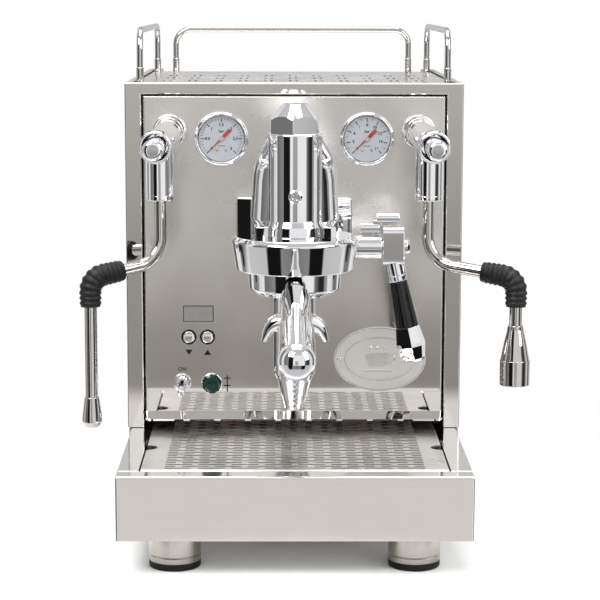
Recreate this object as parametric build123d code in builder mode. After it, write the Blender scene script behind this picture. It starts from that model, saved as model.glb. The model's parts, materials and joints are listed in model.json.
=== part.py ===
from build123d import *
import os
from math import atan2, cos, hypot, radians, sin

os.makedirs("parts", exist_ok=True)

# An espresso machine with a lever-operated brew group, two tap wands and a drip drawer.
# All sizes are in mm. Places are given as x to the right, y to the back from the base's
# front face, and z up from the floor; at() moves them into the part's own frame, whose
# origin lies on the floor under the middle of the whole machine.

# Driving dimensions: housing
BASE_HALF = 125.0  # half the width of the base
BODY_HALF = 127.6  # half the width of the body above it
SHEET = 1.2
BASE_BOTTOM = 28.0
BASE_TOP = 74.0
PANEL_Y = 157.0
BACK_Y = 447.0
BODY_TOP = 338.3
FRAME_STRIP = 12.6  # width of the folded strips beside the front panel
FRAME_TOP_STRIP = 8.6
PANEL_GAP = 1.3
SEAM = 0.3
RETURN = 8.0  # depth of the front frame's returns
# Drip drawer
DRAWER_BAR = 16.6
GRATE_HALF = 108.4
GRATE_Z = 74.6
GRATE_BACK = 200.0
PAN_BACK = 232.0
SLOT_PITCH_X = 23.5
SLOT_PITCH_Y = 5.4
SLOT_ROWS = 31
SLOT_LENGTH = 19.5
SLOT_WIDTH = 2.6
SHORT_SLOT = 7.7  # closes every second row at both ends
SHORT_SLOT_X = 88.2
SCREW_HEAD = 1.9
# Feet
FOOT_X = 85.5
FOOT_YS = (38.0, 409.0)
FOOT_R = 18.6
PAD_H = 5.0
# Cup plate and rails
PLATE_TOP = 336.0
PLATE_HALF = 123.0
ROD_R = 2.5
RAIL_BEND = 21.0
SIDE_RAIL_X = 119.0
SIDE_RAIL_YS = (205.0, 427.0)
SIDE_RAIL_TOP = 376.5
REAR_RAIL_X = 103.4
REAR_RAIL_Y = 440.0
REAR_RAIL_TOP = 373.5
RAIL_FOOT_TOP = 348.0
# Instruments on the front panel
GAUGE_X = 54.8
GAUGE_Z = 296.5
GAUGE_R = 20.25
DIAL_R = 17.15
DISPLAY = (-72.9, 163.0)
BUTTON_XS = (-80.2, -66.0)
BUTTON_Z = 145.0
SWITCH = (-85.6, 109.5)
SWITCH_TILT = 13.0
LAMP = (-62.9, 109.0)
BADGE = (65.8, 128.0)
BADGE_SIZE = (70.5, 50.0)
# Taps and wands
TAP_FOOT = (93.5, 302.5)  # where a tap's axis leaves the panel
TAP_MOUTH = (98.9, 77.0, 296.7)  # the middle of its front ring
JOYSTICK = (98.6, 81.0, 297.0)  # the joystick's pivot
WAND_X = 98.9
WAND_Y = PANEL_Y - 40.0
WAND_TOP = 262.0
TUBE_R = 4.6
GRIP_R = 8.4
WAND_BEND_Z = 208.2
STEAM_TIP = (-148.0, 85.0)
WATER_TIP = (161.0, 86.0)
STEAM_NOZZLE_R = 7.35
WATER_NOZZLE_R = 11.1
# Brew group
GROUP_Y = 52.0
BELL_R = 45.0
BELL_BOTTOM = 212.0
BELL_TOP = 236.0
TOWER_R = 19.0
TOWER_TOP = 308.0
COLUMN_Y = 100.0
LEVER_Y = 105.0
LEVER_Z = 221.0
# Portafilter
HANDLE_SLOPE = 11.8
HANDLE_END = (0.0, -113.0, 176.7)
HANDLE_R = 12.2

# The origin lies under the middle of the machine's outer box.
CENTRE_X = -(WATER_TIP[0] + WATER_NOZZLE_R + STEAM_TIP[0] - GRIP_R) / 2
FRONT_Y = -(BACK_Y + SCREW_HEAD + HANDLE_END[1] - HANDLE_R) / 2


def at(x, y, z):
    """A place of the machine in the part's own frame."""
    return Vector(x + CENTRE_X, y + FRONT_Y, z)


def top_plane(z):
    """Local x to the right and y to the back, with the normal up."""
    return Plane(origin=at(0, 0, z))


def front_plane(y):
    """Local x to the right and y up, with the normal towards a person in front."""
    return Plane(origin=at(0, y, 0), x_dir=(1, 0, 0), z_dir=(0, -1, 0))


def side_plane(x):
    """Local x to the back and y up, with the normal to the right."""
    return Plane(origin=at(x, 0, 0), x_dir=(0, 1, 0), z_dir=(1, 0, 0))


def save(piece, name):
    piece.part.label = name
    export_step(piece.part, f"parts/{name}.step")


def box(x, y, z, mode=Mode.ADD):
    """A box between the low and high values of x, y and z, in the current part."""
    with Locations(at(sum(x) / 2, sum(y) / 2, sum(z) / 2)):
        Box(x[1] - x[0], y[1] - y[0], z[1] - z[0], mode=mode)


def turned(origin, direction, outline, radii, mode=Mode.ADD):
    """A turned body in the current part.

    The outline is a list of (distance along the axis, radius) from one end of the axis
    to the other. Its corners are rounded by the radii, one for each inner point. An outline
    that ends where it starts is closed, and has a radius for each of its points.
    """
    axis = Axis(at(*origin), Vector(*direction))
    across = Plane(origin=axis.position, z_dir=axis.direction).x_dir
    with BuildSketch(Plane(axis.position, x_dir=axis.direction, z_dir=across)) as profile:
        with BuildLine():
            FilletPolyline(*outline, radius=radii)
            if outline[0] != outline[-1]:
                Line(outline[0], outline[-1])
        make_face()
    revolve(profile.sketch, axis=axis, mode=mode)


def plain_ring(origin, direction, span, radii, mode=Mode.ADD):
    """A plain ring or sleeve: span along its axis, inner and outer radius."""
    with BuildSketch(Plane(origin=at(*origin) + Vector(*direction) * span[0], z_dir=direction)) as ring:
        Circle(radii[1])
        Circle(radii[0], mode=Mode.SUBTRACT)
    extrude(ring.sketch, amount=span[1] - span[0], mode=mode)


def bolt(origin, direction, across_flats, height, turn=0.0):
    """A hexagon head standing on a surface."""
    with BuildSketch(Plane(origin=at(*origin), z_dir=direction)) as head:
        RegularPolygon(across_flats / 2, 6, major_radius=False, rotation=turn)
    extrude(head.sketch, amount=height)


UP = (0, 0, 1)
FORWARD = (0, -1, 0)
BACK = (0, 1, 0)
RIGHT = (1, 0, 0)


# Base housing: a tray of folded sheet that is open at the front for the drawer.
with BuildPart() as base_frame:
    y_span = (DRAWER_BAR + 0.4, BACK_Y - 2 * SHEET - 0.2)
    box((-BASE_HALF, BASE_HALF), y_span, (BASE_BOTTOM, BASE_BOTTOM + 1.5))
    for side in (-1, 1):
        wall = sorted((side * (BASE_HALF - 1.5), side * BASE_HALF))
        strip = sorted((side * (GRATE_HALF + 1.2), side * BASE_HALF))
        box(wall, y_span, (BASE_BOTTOM, BASE_TOP))
        box(strip, (y_span[0], PANEL_Y + 60), (BASE_TOP - 1.5, BASE_TOP))
    outer_folds = (
        base_frame.edges()
        .filter_by(Axis.Y)
        .filter_by(lambda e: abs(abs(e.center().X - CENTRE_X) - BASE_HALF) < 0.01)
    )
    fillet(outer_folds, 1.2)
    deck = (-BASE_HALF + 3, BASE_HALF - 3)
    box(deck, (GRATE_BACK + 6, BACK_Y - 4), (BASE_TOP - 1.5, BASE_TOP + 0.5))
save(base_frame, "base_frame")

# Feet: metal sleeves and rubber pads.
with BuildPart() as foot_sleeves:
    for x in (-FOOT_X, FOOT_X):
        for y in FOOT_YS:
            sleeve = [(PAD_H, 0), (PAD_H, FOOT_R), (BASE_BOTTOM, FOOT_R), (BASE_BOTTOM, 0)]
            turned((x, y, 0), UP, sleeve, [0.4, 0.4])
save(foot_sleeves, "foot_sleeves")

with BuildPart() as foot_pads:
    for x in (-FOOT_X, FOOT_X):
        for y in FOOT_YS:
            pad = [(0, 0), (0, FOOT_R), (PAD_H, FOOT_R), (PAD_H, 0)]
            turned((x, y, 0), UP, pad, [1.5, 0.3])
save(foot_pads, "foot_pads")

# Front frame: a folded strip round three sides of the front panel, with returns to the back.
strip_inner = BODY_HALF - FRAME_STRIP
strip_bottom = BASE_TOP + 0.4
with BuildPart() as front_frame:
    box((-BODY_HALF, BODY_HALF), (PANEL_Y, PANEL_Y + RETURN), (strip_bottom, BODY_TOP))
    box(
        (-BODY_HALF + SHEET, BODY_HALF - SHEET),
        (PANEL_Y + SHEET, PANEL_Y + RETURN),
        (strip_bottom, BODY_TOP - SHEET),
        mode=Mode.SUBTRACT,
    )
    box(
        (-strip_inner, strip_inner),
        (PANEL_Y, PANEL_Y + SHEET),
        (strip_bottom, BODY_TOP - FRAME_TOP_STRIP),
        mode=Mode.SUBTRACT,
    )
    front_edges = front_frame.faces().filter_by(Axis.Y).sort_by(Axis.Y)[0].edges()
    fillet(front_edges.filter_by(lambda e: e.center().Z > strip_bottom + 1), 1.0)
save(front_frame, "front_frame")


def side_panel(side):
    """A side panel with an upper and a rear flange."""
    outer = side * BODY_HALF
    sheet = sorted((outer, side * (BODY_HALF - SHEET)))
    top_flange = sorted((outer, side * (PLATE_HALF + 0.4)))
    rear_flange = sorted((outer, side * strip_inner))
    start = PANEL_Y + RETURN + SEAM
    with BuildPart() as panel:
        box(sheet, (start, BACK_Y), (BASE_BOTTOM, BODY_TOP))
        box(top_flange, (start, BACK_Y), (BODY_TOP - SHEET, BODY_TOP))
        box(rear_flange, (BACK_Y - SHEET, BACK_Y), (BASE_BOTTOM, BODY_TOP))
        folds = panel.edges().filter_by(
            lambda e: abs(e.center().X - CENTRE_X - outer) < 0.01
            and (abs(e.center().Z - BODY_TOP) < 0.01 or abs(e.center().Y - FRONT_Y - BACK_Y) < 0.01)
        )
        fillet(folds, 0.9)
        for z in SCREW_ZS:
            with Locations(Plane(origin=at(side * SCREW_X, BACK_Y, z), z_dir=BACK)):
                Hole(radius=2.1, depth=4)
    return panel


# Eight screws hold the back panel to the side panels' rear flanges.
SCREW_X = 120.0
SCREW_ZS = (95.0, 170.0, 245.0, 320.0)
save(side_panel(-1), "left_side_panel")
save(side_panel(1), "right_side_panel")

with BuildPart() as back_panel:
    box((-BODY_HALF + 3, BODY_HALF - 3), (BACK_Y - 2 * SHEET, BACK_Y - SHEET), (BASE_BOTTOM, 330))
    for x in (-SCREW_X, SCREW_X):
        for z in SCREW_ZS:
            with Locations(Plane(origin=at(x, BACK_Y, z), z_dir=BACK)):
                Hole(radius=2.1, depth=6)
    box((-24, 24), (BACK_Y - 3, BACK_Y), (108, 136), mode=Mode.SUBTRACT)
save(back_panel, "back_panel")

with BuildPart() as case_screws:
    for x in (-SCREW_X, SCREW_X):
        for z in SCREW_ZS:
            screw = [(-6, 0), (-6, 2.0), (0, 2.0), (0, 3.8), (SCREW_HEAD, 3.8), (SCREW_HEAD, 0)]
            turned((x, BACK_Y, z), BACK, screw, [0.3, 0, 0, 1.2])
save(case_screws, "case_screws")

# Cup plate: it lifts off with its rails.
with BuildPart() as cup_plate:
    box((-PLATE_HALF, PLATE_HALF), (PANEL_Y + 3.4, BACK_Y - 1.6), (PLATE_TOP - 1.5, PLATE_TOP))
    for side in (-1, 1):
        lip = sorted((side * (PLATE_HALF - 1.5), side * PLATE_HALF))
        box(lip, (PANEL_Y + 9, BACK_Y - 1.6), (PLATE_TOP - 5, PLATE_TOP))
    with BuildSketch(top_plane(PLATE_TOP)):
        for row in (250, 300, 350):
            with Locations((0, row)):
                with GridLocations(20.1, 1, 11, 1):
                    with GridLocations(5.0, 1, 2, 1):
                        SlotOverall(20, 1.8, rotation=90)
    extrude(amount=-1.5, mode=Mode.SUBTRACT)
    feet = [(side * SIDE_RAIL_X, y) for side in (-1, 1) for y in SIDE_RAIL_YS]
    feet += [(side * REAR_RAIL_X, REAR_RAIL_Y) for side in (-1, 1)]
    with BuildSketch(top_plane(PLATE_TOP)):
        with Locations(*feet):
            Circle(2.1)
    extrude(amount=-1.5, mode=Mode.SUBTRACT)
save(cup_plate, "cup_plate")

with BuildPart() as rail_feet:
    for x, y in feet:
        sleeve = [(-4, 0), (-4, 2.0), (0, 2.0), (0, 2.9), (12, 2.9), (12, 0)]
        turned((x, y, PLATE_TOP), UP, sleeve, [0.3, 0, 0.2, 0.2])
save(rail_feet, "rail_feet")


def bent_rod(plane, start, end, top):
    """A round rod that stands on two feet and joins them with two quarter bends."""
    with BuildLine(plane) as path:
        FilletPolyline(
            (start, RAIL_FOOT_TOP), (start, top), (end, top), (end, RAIL_FOOT_TOP), radius=RAIL_BEND
        )
    with BuildSketch(Plane(origin=path.line @ 0, z_dir=path.line % 0)) as section:
        Circle(ROD_R)
    sweep(section.sketch, path=path.line)


with BuildPart() as cup_rails:
    for side in (-1, 1):
        bent_rod(side_plane(side * SIDE_RAIL_X), *SIDE_RAIL_YS, SIDE_RAIL_TOP)
    bent_rod(front_plane(REAR_RAIL_Y), -REAR_RAIL_X, REAR_RAIL_X, REAR_RAIL_TOP)
save(cup_rails, "cup_rails")

# Drip drawer: front, pan and grate.
with BuildPart() as drip_tray_front:
    box((-BASE_HALF, BASE_HALF), (0, DRAWER_BAR), (BASE_BOTTOM, BASE_TOP))
    fillet(drip_tray_front.edges().filter_by(lambda e: e.center().Z > BASE_BOTTOM + 1), 1.6)
    box(
        (-BASE_HALF + 2, BASE_HALF - 2),
        (1.8, DRAWER_BAR - 1.8),
        (BASE_BOTTOM, BASE_TOP - 1.8),
        mode=Mode.SUBTRACT,
    )
save(drip_tray_front, "drip_tray_front")

NOTCH_YS = (78.5, 95.5)  # finger notches at both sides of the grate
PAN_HALF = GRATE_HALF - 1.6
PAN_TOP = GRATE_Z - SHEET
with BuildPart() as drip_tray_pan:
    box((-PAN_HALF, PAN_HALF), (DRAWER_BAR, PAN_BACK), (BASE_BOTTOM + 2, PAN_TOP))
    fillet(drip_tray_pan.edges().filter_by(Axis.Z), 6)
    box(
        (-PAN_HALF + SHEET, PAN_HALF - SHEET),
        (DRAWER_BAR + SHEET, PAN_BACK - SHEET),
        (BASE_BOTTOM + 2 + SHEET, PAN_TOP),
        mode=Mode.SUBTRACT,
    )
    box(
        (-PAN_HALF, PAN_HALF),
        (GRATE_BACK + 1, PAN_BACK),
        (BASE_TOP - 2, PAN_TOP),
        mode=Mode.SUBTRACT,
    )
    box((-PAN_HALF, PAN_HALF), NOTCH_YS, (GRATE_Z - 8, PAN_TOP), mode=Mode.SUBTRACT)
save(drip_tray_pan, "drip_tray_pan")

GRATE_FRONT = DRAWER_BAR + 0.8
with BuildPart() as drip_grate:
    box((-GRATE_HALF, GRATE_HALF), (GRATE_FRONT, GRATE_BACK), (GRATE_Z - 5, GRATE_Z))
    fillet(drip_grate.edges().group_by(Axis.Z)[-1], 0.8)
    box(
        (-GRATE_HALF + SHEET, GRATE_HALF - SHEET),
        (GRATE_FRONT - 1, GRATE_BACK + 1),
        (GRATE_Z - 5, GRATE_Z - SHEET),
        mode=Mode.SUBTRACT,
    )
    with BuildSketch(top_plane(GRATE_Z)):
        for row in range(SLOT_ROWS):
            y = GRATE_FRONT + 6 + row * SLOT_PITCH_Y
            with Locations((0, y)):
                with GridLocations(SLOT_PITCH_X, 1, 7 if row % 2 else 8, 1):
                    SlotOverall(SLOT_LENGTH, SLOT_WIDTH)
            if row % 2:
                with Locations((-SHORT_SLOT_X, y), (SHORT_SLOT_X, y)):
                    SlotOverall(SHORT_SLOT, SLOT_WIDTH)
    extrude(amount=-SHEET, mode=Mode.SUBTRACT)
    with BuildSketch(top_plane(GRATE_Z)):
        with Locations(*[(x, sum(NOTCH_YS) / 2) for x in (-GRATE_HALF, GRATE_HALF)]):
            Ellipse(8, 7.5)
    extrude(amount=-6, mode=Mode.SUBTRACT)
save(drip_grate, "drip_grate")

# Front panel: a sheet with a lip that is bent forward above the grate, and all its openings.
LIP_FRONT = (PANEL_Y - 12, 83.4)
LIP_FOLD = 87.2
panel_half = strip_inner - PANEL_GAP
panel_top = BODY_TOP - FRAME_TOP_STRIP - PANEL_GAP
with BuildPart() as front_panel:
    with BuildSketch(side_plane(-panel_half)):
        with BuildLine():
            Polyline(
                (PANEL_Y, panel_top),
                (PANEL_Y, LIP_FOLD),
                LIP_FRONT,
                (LIP_FRONT[0] + 0.4, LIP_FRONT[1] - 1.5),
                (PANEL_Y + 1.5, LIP_FOLD - 1.3),
                (PANEL_Y + 1.5, panel_top),
                close=True,
            )
        make_face()
    extrude(amount=2 * panel_half)
    lip_corners = front_panel.edges().sort_by(Axis.Y)[:4].filter_by(lambda e: e.length < 3)
    fillet(lip_corners, 4)
    with BuildSketch(front_plane(PANEL_Y - 1)):
        with Locations((-GAUGE_X, GAUGE_Z), (GAUGE_X, GAUGE_Z)):
            Circle(18.6)
        with Locations((-TAP_FOOT[0], TAP_FOOT[1]), TAP_FOOT):
            Circle(8.3)
        with Locations(*[(x, BUTTON_Z) for x in BUTTON_XS]):
            Circle(5.5)
        with Locations(SWITCH):
            Circle(5.5)
        with Locations(LAMP):
            Circle(6.5)
        with Locations(DISPLAY):
            Rectangle(23.2, 12.4)
        with Locations((0, 235)):
            Rectangle(36, 24)
    extrude(amount=-4, mode=Mode.SUBTRACT)
    top_and_sides = front_panel.faces().filter_by(Axis.Y).sort_by(Axis.Y)[0].outer_wire().edges()
    fillet(top_and_sides.filter_by(lambda e: e.center().Z > LIP_FOLD + 2), 1.1)
save(front_panel, "front_panel")

# Pressure gauges: a can behind the panel with a polished bezel in front of it.
with BuildPart() as gauge_cases:
    for x in (-GAUGE_X, GAUGE_X):
        case = [
            (-26, 0),
            (-26, 18.3),
            (0, 18.3),
            (0, GAUGE_R),
            (4.6, GAUGE_R),
            (4.6, DIAL_R + 0.05),
            (0.4, DIAL_R + 0.05),
            (0.4, 0),
        ]
        turned((x, PANEL_Y, GAUGE_Z), FORWARD, case, [1, 0, 0.3, 1.9, 0.8, 0])
        with Locations(Plane(origin=at(x, PANEL_Y - 0.4, GAUGE_Z), z_dir=FORWARD)):
            Hole(radius=0.8, depth=4)
save(gauge_cases, "gauge_cases")

with BuildPart() as gauge_dials:
    for x in (-GAUGE_X, GAUGE_X):
        plain_ring((x, PANEL_Y, GAUGE_Z), FORWARD, (0.4, 0.9), (0.8, DIAL_R))
save(gauge_dials, "gauge_dials")

with BuildPart() as gauge_glasses:
    for x in (-GAUGE_X, GAUGE_X):
        glass = [(3.2, 0), (3.2, DIAL_R), (4.0, DIAL_R), (4.0, 0)]
        turned((x, PANEL_Y, GAUGE_Z), FORWARD, glass, [0, 0.2])
save(gauge_glasses, "gauge_glasses")


def gauge_needle(x):
    """A pointer at the zero mark, lower left, with a broad tail and a thin spindle."""
    spindle_base = (x, PANEL_Y - 1.5, GAUGE_Z)
    way = (cos(radians(45)), 0, sin(radians(45)))
    with BuildPart() as needle:
        with BuildSketch(Plane(origin=at(*spindle_base), x_dir=way, z_dir=FORWARD)):
            Polygon(
                (-13.6, 0.2), (-13.6, -0.2), (0, -0.75), (9.5, -1.3), (9.5, 1.3), (0, 0.75), align=None
            )
            Circle(2.2)
        extrude(amount=0.5)
        turned(spindle_base, FORWARD, [(-2.8, 0), (-2.8, 0.45), (0.1, 0.45), (0.1, 0)], [0, 0])
        turned(spindle_base, FORWARD, [(0, 0), (0, 2.0), (1.1, 2.0), (1.1, 0)], [0, 0.4])
    return needle


save(gauge_needle(-GAUGE_X), "steam_gauge_needle")
save(gauge_needle(GAUGE_X), "pump_gauge_needle")

# Temperature display: a module behind a small grey window.
with BuildPart() as temperature_display:
    x, z = DISPLAY
    box((x - 11.3, x + 11.3), (PANEL_Y - 0.4, PANEL_Y + 5), (z - 5.9, z + 5.9))
    box((x - 17, x + 17), (PANEL_Y + 2, PANEL_Y + 14), (z - 11, z + 11))
save(temperature_display, "temperature_display")

with BuildPart() as button_rings:
    for x in BUTTON_XS:
        ring = [(-8, 4.75), (-8, 5.4), (0, 5.4), (0, 5.9), (1.3, 5.9), (1.3, 4.75), (-8, 4.75)]
        turned((x, PANEL_Y, BUTTON_Z), FORWARD, ring, [0, 0, 0, 0, 0.5, 0.2])
save(button_rings, "button_rings")


def push_button(x):
    with BuildPart() as button:
        cap = [(-12, 0), (-12, 2), (-3, 2), (-3, 4.45), (2.3, 4.45), (2.3, 0)]
        turned((x, PANEL_Y, BUTTON_Z), FORWARD, cap, [0, 0, 0.3, 1.0])
    return button


save(push_button(BUTTON_XS[0]), "down_button")
save(push_button(BUTTON_XS[1]), "up_button")

# Toggle switch and pilot lamp.
SWITCH_PIVOT = 4.0  # the lever's pivot in front of the panel
with BuildPart() as switch_bushing:
    x, z = SWITCH
    body = [(-18, 0), (-18, 5.2), (0, 5.2), (0, 6.9), (2.4, 6.9), (2.4, 5.0), (7.0, 5.0), (7.0, 3.4)]
    body += [(0.0, 3.4), (0.0, 0)]
    turned((x, PANEL_Y, z), FORWARD, body, [0.5, 0, 0.2, 0.5, 0, 0.6, 0.3, 0])
save(switch_bushing, "switch_bushing")

tilt = radians(SWITCH_TILT)
switch_way = (0, -cos(tilt), -sin(tilt))
with BuildPart() as switch_lever:
    bat = [(-2.2, 0), (-2.2, 1.6), (4, 1.6), (19.5, 2.7), (19.5, 0)]
    turned((x, PANEL_Y - SWITCH_PIVOT, z), switch_way, bat, [1.0, 2.0, 2.2])
save(switch_lever, "switch_lever")

with BuildPart() as lamp_bezel:
    x, z = LAMP
    ring = [(-14, 0), (-14, 6.3), (0, 6.3), (0, 7.8), (2.6, 7.8), (2.6, 6.1), (0.6, 6.1), (0.6, 0)]
    turned((x, PANEL_Y, z), FORWARD, ring, [0.5, 0, 0.2, 1.2, 0.4, 0])
save(lamp_bezel, "lamp_bezel")

with BuildPart() as lamp_lens:
    lens = [(0.6, 0), (0.6, 6.05), (2.6, 6.05), (4.2, 4.5), (4.8, 0)]
    turned((x, PANEL_Y, z), FORWARD, lens, [0, 0.8, 3.0])
save(lamp_lens, "lamp_lens")

# Badge: an oval plate with a raised rim, held by two rivets.
with BuildPart() as badge:
    with BuildSketch(front_plane(PANEL_Y)):
        with Locations(BADGE):
            Ellipse(BADGE_SIZE[0] / 2, BADGE_SIZE[1] / 2)
    extrude(amount=1.6)
    with BuildSketch(front_plane(PANEL_Y - 1.6)):
        with Locations(BADGE):
            Ellipse(BADGE_SIZE[0] / 2 - 8, BADGE_SIZE[1] / 2 - 8)
    extrude(amount=-0.5, mode=Mode.SUBTRACT)
    for side in (-1, 1):
        place = (BADGE[0] + side * (BADGE_SIZE[0] / 2 - 4.4), PANEL_Y - 1.6, BADGE[1])
        turned(place, FORWARD, [(0, 0), (0, 2.0), (1.0, 1.6), (1.2, 0)], [0, 0.4])
save(badge, "badge")


# Taps: a turned body that leans outwards from the panel, a hanging wand socket, and a joystick.
def tap_body(side):
    foot = Vector(side * TAP_FOOT[0], PANEL_Y, TAP_FOOT[1])
    mouth = Vector(side * TAP_MOUTH[0], TAP_MOUTH[1], TAP_MOUTH[2])
    with BuildPart() as body:
        shank = [
            (-14, 0),
            (-14, 7.6),
            (1.4, 7.6),
            (1.4, 12.5),
            (4.4, 12.5),
            (4.4, 10.0),
            (66, 10.0),
            (80, 11.75),
            (88, 11.75),
            (88, 9.6),
            (68, 9.6),
            (68, 0),
        ]
        turned(foot, (mouth - foot).normalized(), shank, [0.5, 0, 0.4, 1.0, 0.4, 8, 3, 1.0, 0.6, 2])
        socket = [(254, 5.9), (254, 10.2), (297, 10.2), (297, 0), (268, 0), (268, 5.9), (254, 5.9)]
        turned((side * WAND_X, WAND_Y, 0), UP, socket, [0, 1.0, 0, 0, 0, 0])
    return body


save(tap_body(-1), "steam_tap_body")
save(tap_body(1), "water_tap_body")


def tap_lever(side):
    origin = (side * JOYSTICK[0], JOYSTICK[1], JOYSTICK[2])
    with BuildPart() as lever:
        stick = [(-5, 0), (-5, 5), (5, 5), (5, 3.2), (17, 3.2), (17, 7.6), (51, 7.6), (51, 0)]
        turned(origin, FORWARD, stick, [3.5, 1.5, 0, 0, 1.0, 7.5])
    return lever


save(tap_lever(-1), "steam_tap_lever")
save(tap_lever(1), "water_tap_lever")


class WandRoute:
    """A wand's centre line: down from the tap, out on a slight fall, and down again."""

    def __init__(self, side, tip, bottom):
        self.axis_x = side * WAND_X
        self.reach = hypot(tip[0] - self.axis_x, tip[1] - WAND_Y)
        out = ((tip[0] - self.axis_x) / self.reach, (tip[1] - WAND_Y) / self.reach, 0)
        across = (out[1], -out[0], 0)
        self.plane = Plane(origin=at(self.axis_x, WAND_Y, 0), x_dir=out, z_dir=across)
        self.second_bend = (self.reach, WAND_BEND_Z - 7.3)
        self.points = [(0, WAND_TOP), (0, WAND_BEND_Z), self.second_bend, (self.reach, bottom)]
        self.fall = atan2(7.3, self.reach)


def swept_round(plane, points, radii, circle_radii):
    """A round bar or tube along a bent line in a plane."""
    with BuildLine(plane) as path:
        FilletPolyline(*points, radius=radii)
    with BuildSketch(Plane(origin=path.line @ 0, z_dir=path.line % 0)) as section:
        Circle(circle_radii[0])
        if len(circle_radii) > 1:
            Circle(circle_radii[1], mode=Mode.SUBTRACT)
    sweep(section.sketch, path=path.line)


def wand_tube(route):
    with BuildPart() as tube:
        swept_round(route.plane, route.points, [22, 19], [TUBE_R])
        ball = [(WAND_TOP - 4, 0), (WAND_TOP - 4, 5.5), (WAND_TOP + 4, 5.5), (WAND_TOP + 4, 0)]
        turned((route.axis_x, WAND_Y, 0), UP, ball, [1, 2.5])
    return tube


def wand_grip(route):
    back = 26.0
    r, z = route.second_bend
    points = [
        (r - back * cos(route.fall), z + back * sin(route.fall)),
        (r, z),
        (r, z - 21),
    ]
    with BuildPart() as grip:
        swept_round(route.plane, points, [19], [GRIP_R, TUBE_R + 0.1])
    return grip


steam_route = WandRoute(-1, STEAM_TIP, 113.0)
water_route = WandRoute(1, WATER_TIP, 160.0)
save(wand_tube(steam_route), "steam_wand")
save(wand_tube(water_route), "water_wand")
save(wand_grip(steam_route), "steam_wand_grip")
save(wand_grip(water_route), "water_wand_grip")

with BuildPart() as steam_nozzle:
    tip = [(90.6, 0), (90.6, 5.6), (95, STEAM_NOZZLE_R), (113, 5.3), (113, 0)]
    turned((STEAM_TIP[0], STEAM_TIP[1], 0), UP, tip, [2.2, 4, 0.5])
save(steam_nozzle, "steam_nozzle")

with BuildPart() as water_nozzle:
    bell = [
        (138, 0),
        (138, 8.6),
        (122, 9.9),
        (122, WATER_NOZZLE_R),
        (144, 9.4),
        (144, 7.6),
        (160, 6.2),
        (160, 0),
    ]
    turned((WATER_TIP[0], WATER_TIP[1], 0), UP, bell, [1.5, 0.4, 0.6, 1.2, 1.2, 1.0])
save(water_nozzle, "water_nozzle")

PIPE_XS = (-9.0, 9.0)  # the two pipes that warm the group from the boiler
PIPE_Z = 235.0

# Brew group: one casting with its tower, shoulders, column and wall flange.
with BuildPart() as group_body:
    tower = [(BELL_TOP, 0), (BELL_TOP, 22), (243, 21), (247, TOWER_R), (TOWER_TOP, TOWER_R), (TOWER_TOP, 0)]
    turned((0, GROUP_Y, 0), UP, tower, [0.5, 2, 2, 1.5])
    with BuildSketch(front_plane(COLUMN_Y)):
        with BuildLine():
            FilletPolyline(
                (-18, TOWER_TOP - 1),
                (-29.5, 284),
                (-32.5, 244),
                (-22, 236),
                (22, 236),
                (32.5, 244),
                (29.5, 284),
                (18, TOWER_TOP - 1),
                close=True,
                radius=6,
            )
        make_face()
    extrude(amount=COLUMN_Y - GROUP_Y - 4)
    fillet(group_body.faces().sort_by(Axis.Y)[-1].edges(), 3)
    box((-21, 21), (COLUMN_Y - 14, PANEL_Y - 10), (216, 252))
    with BuildSketch(front_plane(PANEL_Y)):
        with Locations((0, 233.5)):
            RectangleRounded(87, 39, 2.5)
    extrude(amount=11)
    for x in PIPE_XS:
        with Locations(Plane(origin=at(x, PANEL_Y, PIPE_Z), z_dir=BACK)):
            Hole(radius=5.6, depth=9)
    column = [(200, 0), (200, 15.2), (240, 15.2), (240, 0)]
    turned((0, COLUMN_Y, 0), UP, column, [0, 2])
    turned((0, LEVER_Y, LEVER_Z), RIGHT, [(0, 0), (0, 12), (30, 12), (30, 0)], [0, 1])
    bell_space = [(190, 0), (190, BELL_R + 0.3), (BELL_TOP, BELL_R + 0.3), (BELL_TOP, 0)]
    turned((0, GROUP_Y, 0), UP, bell_space, [0, 0], mode=Mode.SUBTRACT)
    with Locations(Plane(origin=at(31, LEVER_Y, LEVER_Z), z_dir=RIGHT)):
        Hole(radius=4.4, depth=30)
save(group_body, "group_body")

# The bell round the group's underside, with bayonet lugs inside its rim.
BELL_BORE = 38.2
BELL_FLOOR = 230.2
LUG_TOP = BELL_BOTTOM + 2.0
LUG_R = 35.8
LUG_GAP_ANGLE = 45.0  # the ears pass here when the handle is turned to the left
with BuildPart() as group_bell:
    skirt = [
        (BELL_BOTTOM, BELL_BORE),
        (BELL_BOTTOM, BELL_R - 3.3),
        (BELL_TOP - 3, BELL_R),
        (BELL_TOP, BELL_R - 2.5),
        (BELL_TOP, 0),
        (BELL_FLOOR, 0),
        (BELL_FLOOR, BELL_BORE),
        (BELL_BOTTOM, BELL_BORE),
    ]
    turned((0, GROUP_Y, 0), UP, skirt, [0, 1.2, 2, 1, 0, 0, 0])
    with BuildSketch(top_plane(BELL_BOTTOM)):
        with Locations((0, GROUP_Y)):
            Circle(BELL_BORE + 1)
            Circle(LUG_R, mode=Mode.SUBTRACT)
            Rectangle(100, 44, rotation=LUG_GAP_ANGLE, mode=Mode.SUBTRACT)
    extrude(amount=LUG_TOP - BELL_BOTTOM)
save(group_bell, "group_bell")

with BuildPart() as group_gasket:
    plain_ring((0, GROUP_Y, 0), UP, (224.4, BELL_FLOOR), (29.5, 36.5))
save(group_gasket, "group_gasket")

with BuildPart() as shower_screen:
    screen = [(226.0, 0), (226.0, 28.8), (BELL_FLOOR, 28.8), (BELL_FLOOR, 0)]
    turned((0, GROUP_Y, 0), UP, screen, [1.0, 0])
save(shower_screen, "shower_screen")

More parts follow.
